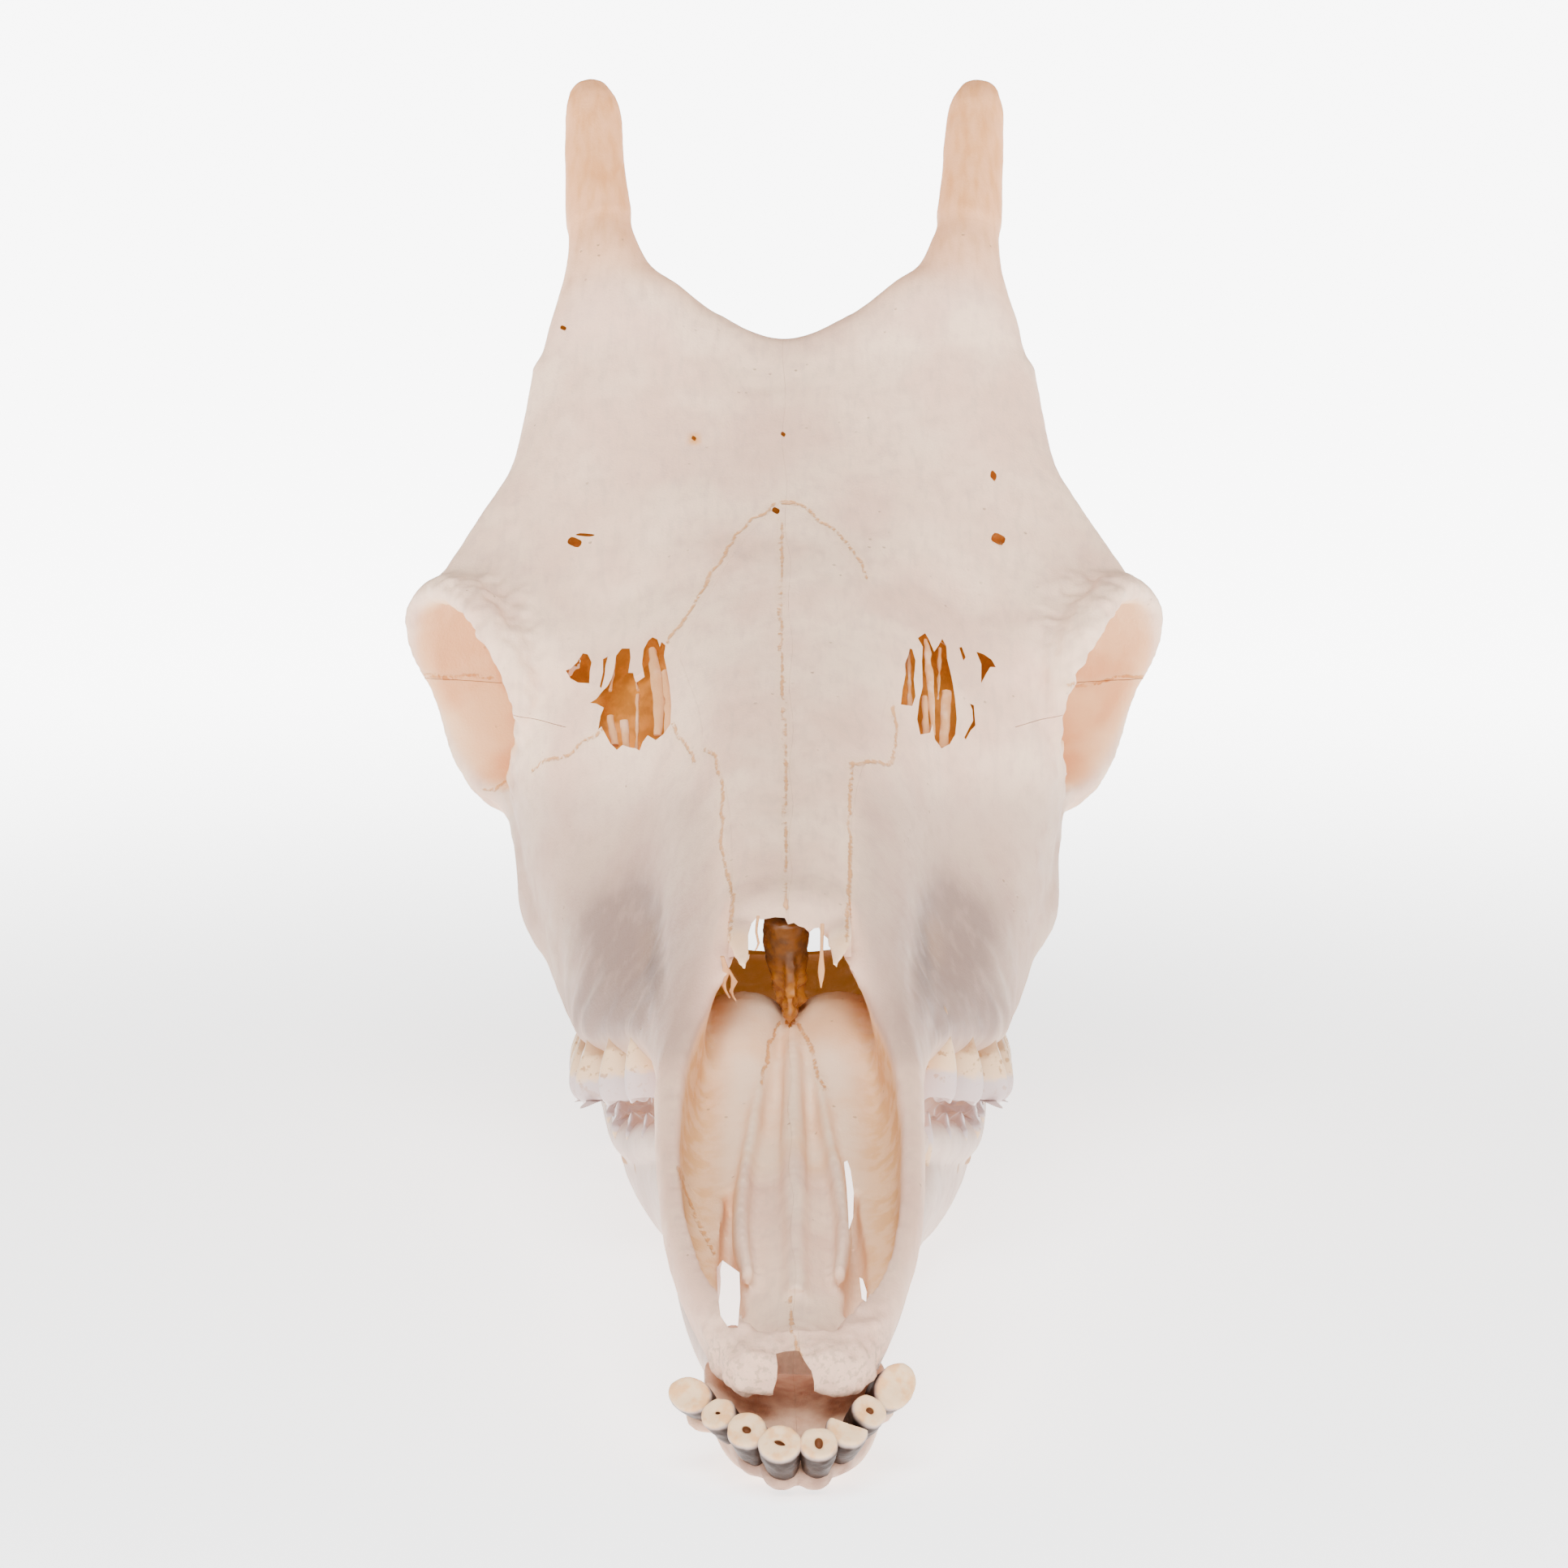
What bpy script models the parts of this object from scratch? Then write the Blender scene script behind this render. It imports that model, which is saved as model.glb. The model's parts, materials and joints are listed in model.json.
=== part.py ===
"""Giraffe skull with its lower jaw, life size, resting on the jaw as a museum shows it.

Sizes are millimetres in the skull's own frame, turned to metres when a mesh is made: x to the
skull's left as the camera sees its right, y back from the tip of the premaxilla, z up from the floor
under the jaw. The bones are lofted through named lines that run along the skull, fused and smoothed
as one surface, hollowed, thinned to few faces, and parted into nodes by thin cuts.
"""
import math

import bmesh
import bpy
import numpy as np
from mathutils import Vector

MM = 0.001
GAP = 0.3                      # between neighbouring nodes
MIDLINE_GAP = 0.4              # the cut down the middle, wider because the drift bends it
MIDDLE_Y = 292.0               # the y that the bones are shaped round
REST = Vector((0.0, -0.95, 0.2))   # last move of the finished bones, over the origin and onto the floor
VOXEL = 2.0                    # fusing grid of the bones
RING_STEP = 5.0                # spacing of loft rings along the skull
SPAN = 6                       # ring points between two control points

ORBIT_CENTRE = Vector((103.0, 379.0, 165.0))
ORBIT_FACING = Vector((0.87, -0.40, -0.29)).normalized()
ORBIT_RADIUS = 31.5
RIM = 4.6                      # half thickness of the orbit's rim
ORBIT_TUCK = 9.0               # the rim's outer side leans in below the eye, most at this height
ORBIT_TUCK_Z = 160.0

JAW_DRIFT = {118: 0.0, 200: 1.5, 300: 1.5}   # the loose jaw lies a bit to the left behind the chin
DRIFT = {-19: 4.4, 30: 3.0, 110: 1.8, 300: 2.2, 340: 1.8, 400: 0.0, 440: 0.0}   # growth to the left
SKULL_TRIANGLES = 7000
JAW_TRIANGLES = 1800
JAW_VOXEL = 1.6

UPPER_LENGTHS = (20, 22, 21, 27, 30, 30)
UPPER_WIDTHS = (12.5, 17, 19.5, 21, 22, 20)
UPPER_FIRST_Y = 205
UPPER_MIDDLE_X = {205: 43.5, 215: 44.5, 236: 51, 258: 58, 285: 60, 320: 60, 355: 59}
UPPER_ROOT_Z = {205: 97, 260: 84, 300: 80, 355: 80}
UPPER_NECK_Z = {205: 88, 235: 78, 260: 71, 300: 68, 355: 68}
UPPER_BITE_Z = {205: 64.5, 235: 57, 260: 52, 290: 49, 355: 47}
BITE_GAP = 0.8                 # the jaw hangs this much below the upper teeth
LOWER_LENGTHS = (17, 20, 21, 26, 28, 32)
LOWER_WIDTHS = (9, 11, 13, 15, 15, 14)
LOWER_FIRST_Y = 210
LOWER_MIDDLE_X = {210: 37, 235: 44, 260: 49.5, 285: 52.5, 320: 54.5, 355: 56}
LOWER_ROOT_Z = {210: 40, 260: 34, 355: 34}
LOWER_NECK_Z = {210: 51, 260: 46, 300: 43, 355: 42}
LOWER_BITE_Z = {y: z - BITE_GAP for y, z in UPPER_BITE_Z.items()}
FRONT_TOOTH_THICK = 9.4
FRONT_TEETH = {                # by side: worn end, heading, width of three incisors and the canine
    1: (((5.2, -12, 18.2), (0.05, -0.80, 0.60), 10.2), ((13.2, -6, 20.6), (0.22, -0.78, 0.58), 10.4),
        ((19.8, 4, 23.3), (0.46, -0.70, 0.54), 9.4), ((27.8, 15, 26.4), (0.68, -0.60, 0.42), 12.4)),
    -1: (((5.3, -12, 18.2), (0.05, -0.80, 0.60), 10.4), ((14.2, -6, 20.4), (0.22, -0.78, 0.58), 10.4),
         ((21.8, 4, 22.6), (0.50, -0.68, 0.54), 9.2), ((29.8, 16, 24.8), (0.70, -0.57, 0.42), 12.6)),
}

NASAL_DEPTH = 20
NASAL_SPAN = {                 # y: half width of the nasal bones and a height above them
    152: (19, 130), 200: (17.5, 146), 245: (19.5, 166), 262: (22, 175), 290: (30, 190), 318: (36, 204),
    341: (25, 217), 366: (12, 231), 378: (2, 238),
}

BONE = (0.80, 0.72, 0.64, 1.0)
HORN_BONE = (0.78, 0.66, 0.53, 1.0)
JAW_BONE = (0.79, 0.72, 0.66, 1.0)


def clear_scene():
    for obj in list(bpy.data.objects):
        bpy.data.objects.remove(obj, do_unlink=True)


def at(point):
    """A point of the skull's frame in millimetres as a place in metres."""
    x, y, z = point
    return Vector((x * MM, (y - MIDDLE_Y) * MM, z * MM))


def follow(stations):
    """A smooth line through {y: value}, as a function of y. Values are numbers or tuples."""
    ys = np.array(sorted(stations), float)
    values = np.array([np.atleast_1d(stations[y]) for y in sorted(stations)], float)
    slopes = np.gradient(values, ys, axis=0)

    def value(y):
        y = min(max(y, ys[0]), ys[-1])
        i = min(int(np.searchsorted(ys, y, side="right")) - 1, len(ys) - 2)
        step = ys[i + 1] - ys[i]
        t = (y - ys[i]) / step
        a, b = values[i], values[i + 1]
        ma, mb = slopes[i] * step, slopes[i + 1] * step
        return ((2 * t**3 - 3 * t**2 + 1) * a + (t**3 - 2 * t**2 + t) * ma
                + (3 * t**2 - 2 * t**3) * b + (t**3 - t**2) * mb)

    return value


def closed_curve(points, span=SPAN):
    """Points along a smooth closed curve through the given ones."""
    points = np.array(points, float)
    count = len(points)
    out = []
    for i in range(count):
        p0, p1, p2, p3 = (points[(i + k) % count] for k in (-1, 0, 1, 2))
        for j in range(span):
            t = j / span
            out.append(0.5 * (2 * p1 + (p2 - p0) * t + (2 * p0 - 5 * p1 + 4 * p2 - p3) * t**2
                              + (3 * p1 - p0 - 3 * p2 + p3) * t**3))
    return out


def mesh_from_rings(rings, name):
    """A closed body through rings of equal point count, its ends fanned to their middles."""
    bm = bmesh.new()
    loops = [[bm.verts.new(at(p)) for p in ring] for ring in rings]
    for a, b in zip(loops, loops[1:]):
        for i in range(len(a)):
            j = (i + 1) % len(a)
            bm.faces.new((a[i], a[j], b[j], b[i]))
    for loop, ring in ((loops[0], rings[0]), (loops[-1], rings[-1])):
        hub = bm.verts.new(at(np.mean(np.array(ring), axis=0)))
        for i in range(len(loop)):
            bm.faces.new((loop[i], loop[(i + 1) % len(loop)], hub))
    bmesh.ops.recalc_face_normals(bm, faces=bm.faces)
    mesh = bpy.data.meshes.new(name)
    bm.to_mesh(mesh)
    bm.free()
    return mesh


def hull(name, first, last, middle_top, side_lines, middle_bottom, step=RING_STEP, span=SPAN):
    """A body symmetric in x: rings across the skull through a top line, side lines and a bottom line."""
    top, bottom = follow(middle_top), follow(middle_bottom)
    sides = [follow(line) for line in side_lines]
    rings = []
    count = max(2, round((last - first) / step) + 1)
    for y in np.linspace(first, last, count):
        right = [side(y) for side in sides]
        section = [(0.0, top(y)[0])] + [tuple(p) for p in right] + [(0.0, bottom(y)[0])]
        section += [(-p[0], p[1]) for p in reversed(right)]
        rings.append([(p[0], y, p[1]) for p in closed_curve(section, span)])
    return mesh_from_rings(rings, name)


def limb(name, path, sizes, flat_to=(0, 0, 1), sides=16, closed=False, step=RING_STEP):
    """A body swept along a path: at each path point the half size along flat_to and across it."""
    path = np.array(path, float)
    sizes = np.array(sizes, float)
    count = len(path)
    fine = []
    spans = count if closed else count - 1
    for i in range(spans):
        ids = [(i + k) % count if closed else min(max(i + k, 0), count - 1) for k in (-1, 0, 1, 2)]
        p0, p1, p2, p3 = path[ids]
        s1, s2 = sizes[ids[1]], sizes[ids[2]]
        steps = max(1, round(np.linalg.norm(p2 - p1) / step))
        for j in range(steps):
            t = j / steps
            place = 0.5 * (2 * p1 + (p2 - p0) * t + (2 * p0 - 5 * p1 + 4 * p2 - p3) * t**2
                           + (3 * p1 - p0 - 3 * p2 + p3) * t**3)
            fine.append((place, s1 + (s2 - s1) * (3 * t * t - 2 * t**3)))
    if not closed:
        fine.append((path[-1], sizes[-1]))
    rings = []
    for i, (place, size) in enumerate(fine):
        ahead = fine[(i + 1) % len(fine)][0] if closed or i + 1 < len(fine) else place
        behind = fine[i - 1][0] if closed or i > 0 else place
        along = ahead - behind
        along /= np.linalg.norm(along)
        up = np.array(flat_to, float)
        up -= along * up.dot(along)
        up /= np.linalg.norm(up)
        across = np.cross(along, up)
        ring = [place + up * size[0] * math.cos(a) + across * size[1] * math.sin(a)
                for a in np.linspace(0, 2 * math.pi, sides, endpoint=False)]
        rings.append(ring)
    return mesh_from_rings(rings, name)


def ball(name, centre, radii, axis=None):
    """An ellipsoid. With axis, radii are (across, across, along the axis)."""
    bm = bmesh.new()
    bmesh.ops.create_uvsphere(bm, u_segments=24, v_segments=16, radius=1.0)
    turn = Vector((0, 0, 1)).rotation_difference(axis or Vector((0, 0, 1)))
    for v in bm.verts:
        v.co = at(Vector(centre) + turn @ Vector((v.co.x * radii[0], v.co.y * radii[1],
                                                    v.co.z * radii[2])))
    mesh = bpy.data.meshes.new(name)
    bm.to_mesh(mesh)
    bm.free()
    return mesh


def mirrored(mesh):
    """The same body on the other side of the skull."""
    bm = bmesh.new()
    bm.from_mesh(mesh)
    for v in bm.verts:
        v.co.x = -v.co.x
    bmesh.ops.reverse_faces(bm, faces=bm.faces)
    twin = bpy.data.meshes.new(mesh.name)
    bm.to_mesh(twin)
    bm.free()
    return twin


def put(mesh, name):
    obj = bpy.data.objects.new(name, mesh)
    bpy.context.scene.collection.objects.link(obj)
    return obj


def joined(meshes, name):
    """One object that holds all these bodies, still overlapping."""
    bm = bmesh.new()
    for mesh in meshes:
        bm.from_mesh(mesh)
    mesh = bpy.data.meshes.new(name)
    bm.to_mesh(mesh)
    bm.free()
    for old in meshes:
        bpy.data.meshes.remove(old)
    return put(mesh, name)


def settle(obj):
    """Turns the object's modifiers into its mesh."""
    bpy.context.view_layer.update()
    shape = bpy.data.meshes.new_from_object(obj.evaluated_get(bpy.context.evaluated_depsgraph_get()))
    old = obj.data
    obj.modifiers.clear()
    obj.data = shape
    bpy.data.meshes.remove(old)


def fuse(obj, voxel, smoothing):
    """One closed surface round all the overlapping bodies of an object."""
    remesh = obj.modifiers.new("fuse", "REMESH")
    remesh.mode = "VOXEL"
    remesh.voxel_size = voxel * MM
    if smoothing:
        soften = obj.modifiers.new("soften", "SMOOTH")
        soften.factor = 0.5
        soften.iterations = smoothing
    settle(obj)


def boolean(obj, others, operation, solver="EXACT"):
    """Joins the other objects to this one, or takes them from it, and removes them."""
    group = bpy.data.collections.new("others")
    bpy.context.scene.collection.children.link(group)
    for other in others:
        group.objects.link(other)
        if operation == "DIFFERENCE":
            other.hide_render = True
            other.display_type = "WIRE"
    cut = obj.modifiers.new("cut", "BOOLEAN")
    cut.operation = operation
    cut.solver = solver
    cut.operand_type = "COLLECTION"
    cut.collection = group
    settle(obj)
    for other in others:
        bpy.data.objects.remove(other, do_unlink=True)
    bpy.data.collections.remove(group)


def part_by(obj, seam):
    """Cuts a thin seam through bone. The exact solver loses whole bones on these long thin cuts."""
    boolean(obj, [seam], "DIFFERENCE", "MANIFOLD")


def thin(obj, triangles):
    """Fewer faces, down to about this many triangles."""
    have = sum(len(p.vertices) - 2 for p in obj.data.polygons)
    if have > triangles:
        fewer = obj.modifiers.new("fewer", "DECIMATE")
        fewer.ratio = triangles / have
        settle(obj)


def islands(obj):
    """The closed surfaces of an object as meshes, largest first."""
    bm = bmesh.new()
    bm.from_mesh(obj.data)
    bm.verts.ensure_lookup_table()
    seen = set()
    groups = []
    for start in bm.verts:
        if start.index in seen:
            continue
        seen.add(start.index)
        group = [start]
        for v in group:
            for edge in v.link_edges:
                other = edge.other_vert(v)
                if other.index not in seen:
                    seen.add(other.index)
                    group.append(other)
        groups.append(group)
    found = []
    for group in sorted(groups, key=len, reverse=True):
        members = {v: i for i, v in enumerate(group)}
        faces = {f for v in group for f in v.link_faces}
        mesh = bpy.data.meshes.new("piece")
        mesh.from_pydata([v.co for v in group], [],
                         [[members[v] for v in f.verts] for f in sorted(faces, key=lambda f: f.index)])
        found.append(mesh)
    bm.free()
    return found


def keep_largest(obj):
    old = obj.data
    obj.data = islands(obj)[0]
    bpy.data.meshes.remove(old)


def prism(name, outline, start, end, plane="yz"):
    """An outline of one plane run straight across it: x across the yz plane, y across the xz plane."""
    bm = bmesh.new()
    loops = []
    for across in (start, end):
        places = [(across, p[0], p[1]) if plane == "yz" else (p[0], across, p[1]) for p in outline]
        loops.append([bm.verts.new(at(p)) for p in places])
    for i in range(len(outline)):
        j = (i + 1) % len(outline)
        bm.faces.new((loops[0][i], loops[0][j], loops[1][j], loops[1][i]))
    for loop in loops:
        bm.faces.new(loop)
    bmesh.ops.triangulate(bm, faces=bm.faces)
    bmesh.ops.recalc_face_normals(bm, faces=bm.faces)
    mesh = bpy.data.meshes.new(name)
    bm.to_mesh(mesh)
    bm.free()
    return put(mesh, name)


def sheet(name, line, start, end, plane="yz"):
    """A gap-thick sheet that follows a line of one plane and runs straight across it."""
    line = np.array(line, float)
    near, far = [], []
    for i, place in enumerate(line):
        along = line[min(i + 1, len(line) - 1)] - line[max(i - 1, 0)]
        square = np.array([-along[1], along[0]]) / np.linalg.norm(along) * GAP / 2
        near.append(place + square)
        far.append(place - square)
    return prism(name, near + far[::-1], start, end, plane)


def cranium_bodies():
    """The overlapping bodies that make up the skull above the jaw."""
    face = hull(
        "face", 4, 370,
        {4: 36, 12: 42, 30: 50, 60: 62, 90: 73, 120: 84, 150: 98, 164: 108, 176: 127.5, 200: 137, 250: 158,
         300: 184, 350: 213, 370: 222},
        [{4: (9, 37), 12: (13, 42.5), 30: (21, 50.5), 60: (28, 62), 90: (31, 73), 120: (31, 84.5),
          150: (28, 98), 164: (20, 106), 176: (17, 124), 200: (18, 133), 250: (20, 155), 300: (24, 180),
          340: (28, 202), 370: (34, 216)},
         {4: (14.5, 36), 12: (19, 42), 30: (27, 49.5), 60: (34, 61), 90: (36.5, 72), 120: (37.5, 83),
          150: (36, 96), 164: (31, 105), 176: (29, 112), 200: (31, 119), 250: (34, 137), 300: (39, 162),
          320: (44, 176), 340: (52, 186), 370: (68, 196)},
         {4: (17, 34), 12: (21, 38), 30: (28.5, 45), 60: (35.5, 56), 90: (38, 66), 120: (39, 77),
          150: (39, 88), 164: (38.5, 95), 200: (40, 105), 250: (44, 113), 300: (53, 134), 320: (65, 148),
          340: (80, 160), 355: (88, 165), 370: (90, 165)},
         {4: (17, 31), 12: (21, 33), 30: (27, 38), 60: (34, 47), 90: (36, 56), 120: (37, 66),
          150: (38.5, 76), 166: (40, 84), 200: (44.5, 95), 225: (52, 92), 250: (60, 92), 300: (71, 101), 320: (78, 106),
          340: (84, 114), 370: (89, 124)},
         {4: (15, 28), 12: (19, 28), 30: (24, 31), 60: (28, 40), 90: (30, 48), 120: (31, 56),
          150: (34, 66), 166: (37, 75), 200: (46, 85), 225: (54, 80), 250: (63, 75), 300: (69, 70), 340: (72, 70),
          370: (70, 84)},
         {4: (10, 27), 12: (12, 26), 30: (15, 28), 60: (17, 37), 90: (18, 45), 120: (19, 52),
          150: (21, 60), 200: (28, 70), 250: (40, 68), 300: (48, 66), 340: (52, 67), 370: (54, 82)}],
        {4: 28, 30: 28, 60: 38, 90: 46, 120: 52, 150: 59, 200: 69, 250: 71, 300: 73, 350: 76, 370: 78})
    core = hull(
        "core", 345, 588,
        {345: 200, 400: 240, 450: 268, 480: 260, 520: 235, 560: 207, 580: 200, 588: 192},
        [{345: (25, 196), 400: (34, 236), 450: (36, 264), 480: (34, 254), 520: (34, 229), 560: (34, 204),
          580: (38, 195), 588: (30, 184)},
         {345: (36, 180), 400: (47, 212), 450: (54, 235), 480: (52, 222), 520: (51, 208), 560: (53, 188),
          580: (57, 175), 588: (44, 165)},
         {345: (38, 155), 400: (44, 170), 450: (50, 190), 480: (50, 180), 520: (52, 170), 560: (57, 158),
          580: (58, 150), 588: (42, 145)},
         {345: (28, 136), 400: (34, 142), 450: (44, 150), 480: (46, 145), 520: (46, 136), 560: (46, 130),
          580: (42, 126), 588: (30, 128)},
         {345: (16, 128), 400: (20, 127), 450: (24, 120), 480: (24, 116), 520: (24, 112), 560: (22, 110),
          580: (20, 114), 588: (16, 120)}],
        {345: 126, 400: 126, 450: 118, 520: 110, 580: 113, 588: 118})
    brow = hull(
        "brow", 325, 492,
        {325: 193, 350: 211, 370: 223, 390: 236, 410: 249, 430: 263, 450: 276, 460: 274, 475: 264, 492: 250},
        [{325: (22, 189), 350: (28, 208), 370: (30, 220), 390: (30, 236), 410: (28, 252), 430: (24, 268),
          450: (20, 283), 460: (20, 281), 475: (24, 268), 492: (28, 247)},
         {325: (38, 177), 350: (54, 190), 370: (64, 209), 390: (70, 226), 410: (68, 248), 430: (60, 273),
          450: (47, 300), 460: (48, 298), 475: (50, 280), 492: (44, 238)},
         {325: (50, 164), 350: (82, 184), 370: (104, 198), 390: (113, 203), 402: (107, 212), 420: (92, 233),
          440: (86, 259), 450: (83.5, 270), 460: (77, 268), 475: (62, 248), 492: (50, 222)},
         {325: (44, 152), 350: (72, 164), 370: (88, 182), 390: (94, 192), 410: (90, 192), 430: (78, 202),
          450: (64, 208), 470: (50, 206), 492: (38, 200)}],
        {325: 155, 350: 165, 370: 180, 390: 190, 410: 195, 430: 200, 450: 205, 492: 200})
    ring_u = Vector((0, 0, 1)).cross(ORBIT_FACING).normalized()
    ring_v = ORBIT_FACING.cross(ring_u)
    rim_path = []
    rim_sizes = []
    for i in range(16):
        a = 2 * math.pi * i / 16
        rim_path.append(ORBIT_CENTRE + (ring_u * math.cos(a) + ring_v * math.sin(a))
                        * (ORBIT_RADIUS + RIM) - ORBIT_FACING * 4)
        rear = max(0.0, math.cos(a))
        rim_path[-1].x -= ORBIT_TUCK * rear * max(0.0, 1 - abs(rim_path[-1].z - ORBIT_TUCK_Z) / 32)
        rim_sizes.append((6 + 7 * rear, RIM - 0.8 * rear))
    pieces = [
        limb("rim", rim_path, rim_sizes, flat_to=ORBIT_FACING, closed=True),
        limb("ossicone", [(57, 452, 235), (61, 454, 273), (60, 463, 296), (63, 477, 313), (65, 495, 333),
                          (66, 509, 348), (68, 518, 357.5)],
             [(12, 14), (20, 20.5), (15, 15.5), (11.5, 11.5), (10.5, 10.5), (10, 10), (6, 6.5)],
             flat_to=(0, 1, 0)),
        limb("arch", [(66, 318, 90), (77.5, 345, 98), (83, 370, 119), (89, 392, 128), (99, 425, 133),
                      (98, 455, 138), (86, 478, 145), (58, 495, 151)],
             [(9, 7), (12, 9), (9.5, 7), (8, 5), (7, 4), (7.5, 4), (9, 5), (14, 10)]),
        limb("post_orbital", [(103, 399, 197), (101, 409, 180), (98, 412, 160), (93, 408, 140),
                              (88, 399, 127)],
             [(15, 5.5), (19, 5.2), (20, 5), (17, 5), (10, 5)], flat_to=(1, 0.25, 0)),
        limb("brow_to_bar", [(80, 415, 215), (98, 405, 205), (112, 398, 196)],
             [(10, 14), (8, 10), (6, 8)]),
        limb("tuber", [(68, 335, 90), (69, 352, 92), (66, 366, 96)], [(20, 11), (18, 11), (12, 8)]),
        limb("pterygoid", [(25, 338, 104), (25, 365, 103), (24, 392, 104), (22, 416, 110), (20, 436, 116)],
             [(24, 3.4), (26, 3.0), (24, 2.8), (15, 2.6), (6, 3)]),
        limb("hamulus", [(23, 400, 90), (23, 414, 78), (24, 420, 74)], [(6, 2.6), (4, 2.2), (2.6, 2)]),
        ball("glenoid", (64, 482, 149), (26, 17, 8)),
        ball("bulla", (33, 516, 106), (11, 17, 14)),
        limb("meatus", [(44, 518, 140), (62, 522, 146)], [(11, 12), (8, 8)]),
        limb("mastoid", [(56, 560, 168), (58, 556, 145), (54, 556, 126)], [(10, 10), (10, 12), (9, 9)],
             flat_to=(1, 0, 0)),
        limb("paroccipital", [(46, 560, 136), (48, 564, 110), (46, 568, 92), (43, 569, 82)],
             [(6, 11), (5, 9), (4, 7), (3, 4)], flat_to=(1, 0, 0)),
        ball("condyle", (23, 586, 137), (14, 15, 19)),
        limb("temporal_line", [(50, 470, 240), (38, 515, 232), (38, 550, 212), (50, 575, 195)],
             [(4, 5), (3.5, 4), (3.5, 4), (5, 6)]),
    ]
    pieces += [mirrored(mesh) for mesh in pieces]
    crest = limb("nuchal_crest", [(-62, 566, 158), (-58, 574, 182), (-34, 583, 197), (0, 586, 202),
                                  (34, 583, 197), (58, 574, 182), (62, 566, 158)],
                 [(4, 7), (4.5, 7), (5, 7), (5, 7), (5, 7), (4.5, 7), (4, 7)], flat_to=(0, 1, 0))
    return [face, core, brow, crest] + pieces


def hollows():
    """The openings of the skull: nose, palate slits, eyes, lacrimal gaps and spinal hole."""
    nose = hull(
        "nose", 14, 168,
        {14: 70, 60: 90, 120: 112, 150: 130, 176: 160},
        [{14: (13, 64), 30: (22, 76), 60: (29, 88), 90: (31.5, 98), 120: (31, 112), 150: (27, 130),
          176: (18, 160)},
         {14: (11, 44), 30: (21, 50), 60: (29, 62), 90: (31.5, 73), 120: (31.5, 84), 150: (28, 98),
          176: (17, 120)},
         {14: (7, 40), 30: (19, 38), 60: (25, 48), 90: (27, 57), 120: (27, 65), 150: (26, 73),
          176: (25, 80)}],
        {14: 42, 30: 43, 60: 53, 100: 62, 150: 70, 176: 74})
    tunnel = hull(
        "tunnel", 160, 392,
        {160: 119, 177: 123.8, 200: 132, 250: 149, 300: 168, 325: 164, 350: 140, 364: 125, 392: 123},
        [{160: (15, 115), 177: (14, 120), 200: (14, 127), 250: (17, 142), 300: (18, 158), 325: (19, 154), 350: (20, 134),
          364: (20, 122), 392: (20, 119)},
         {160: (25, 92), 200: (26, 96), 250: (27, 104), 300: (28, 112), 350: (23, 106), 392: (21, 100)},
         {160: (18, 72), 200: (19, 77), 250: (20, 80), 300: (21, 83), 350: (20, 87), 364: (21, 80),
          392: (21, 66)}],
        {160: 69, 200: 74, 250: 78, 300: 81, 350: 84, 364: 76, 392: 62})
    paired = [
        limb("palate_slit", [(17, 36, 36), (18, 60, 44), (17, 100, 54), (15, 148, 64)],
             [(14, 3.6), (14, 3.4), (13, 2.4), (11, 1.8)]),
        ball("eye", ORBIT_CENTRE - ORBIT_FACING * 10, (ORBIT_RADIUS, ORBIT_RADIUS, 46), ORBIT_FACING),
        limb("lacrimal_gap", [(55, 308, 176), (55, 338, 172), (52, 356, 168)],
             [(17, 16), (15, 15), (9, 9)]),
    ]
    paired += [mirrored(mesh) for mesh in paired]
    spinal = limb("spinal_hole", [(0, 610, 142), (0, 585, 146), (0, 556, 150)],
                  [(17, 18), (16, 17), (11, 12)])
    return [nose, tunnel, spinal] + paired


def jaw_bodies():
    """The overlapping bodies of the lower jaw."""
    chin = hull(
        "chin", -2, 112,
        {-2: 9, 12: 15, 30: 19, 60: 20, 90: 17, 112: 15},
        [{-2: (9, 10), 12: (13, 17), 30: (12, 22), 60: (9, 22), 90: (9, 19), 112: (10, 17)},
         {-2: (13.5, 11), 12: (21, 20), 30: (24, 27), 60: (19, 26), 90: (17, 22), 112: (17, 20)},
         {-2: (13.5, 7), 12: (21, 14), 30: (24, 20), 60: (21, 19), 90: (20, 16), 112: (20, 15)},
         {-2: (9, 3), 12: (15, 4), 30: (18, 5), 60: (16, 4), 90: (14, 3), 112: (14, 4)}],
        {-2: 2, 12: 0, 30: 0, 60: 0, 90: 1, 112: 3})
    pieces = [
        limb("body", [(13, 88, 11), (16, 120, 11.5), (21, 155, 15), (27, 190, 22), (33, 220, 28),
                      (40, 260, 27), (44, 300, 24.5), (47, 340, 23.5), (51, 364, 26), (54, 382, 32),
                      (57, 405, 38), (59, 428, 42)],
             [(9, 6), (9.5, 6.5), (11.5, 6.5), (15, 8), (19, 9.5), (20, 10), (20, 10.5), (19.5, 10.5),
              (21, 9), (28, 7), (35, 5), (40, 4)], flat_to=(0.36, 0, 1)),
        limb("ramus", [(57, 436, 14), (61, 424, 45), (67, 432, 80), (73, 445, 108), (77, 460, 126)],
             [(26, 5), (36, 5), (28, 4.5), (20, 4.5), (9, 5)], flat_to=(0, 1, 0)),
        ball("angle", (59, 444, 27), (5.5, 25, 25)),
        limb("condyle", [(63, 469, 134), (74, 470, 136), (87, 469, 134)], [(6, 6), (6.5, 7), (6, 6)]),
        limb("coronoid", [(71, 430, 100), (74, 434, 135), (76, 444, 165), (77, 455, 186)],
             [(13, 3.6), (10, 3.2), (7.5, 3), (3.5, 2.8)], flat_to=(0, 1, 0)),
    ]
    pieces += [mirrored(mesh) for mesh in pieces]
    return [chin] + pieces


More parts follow.
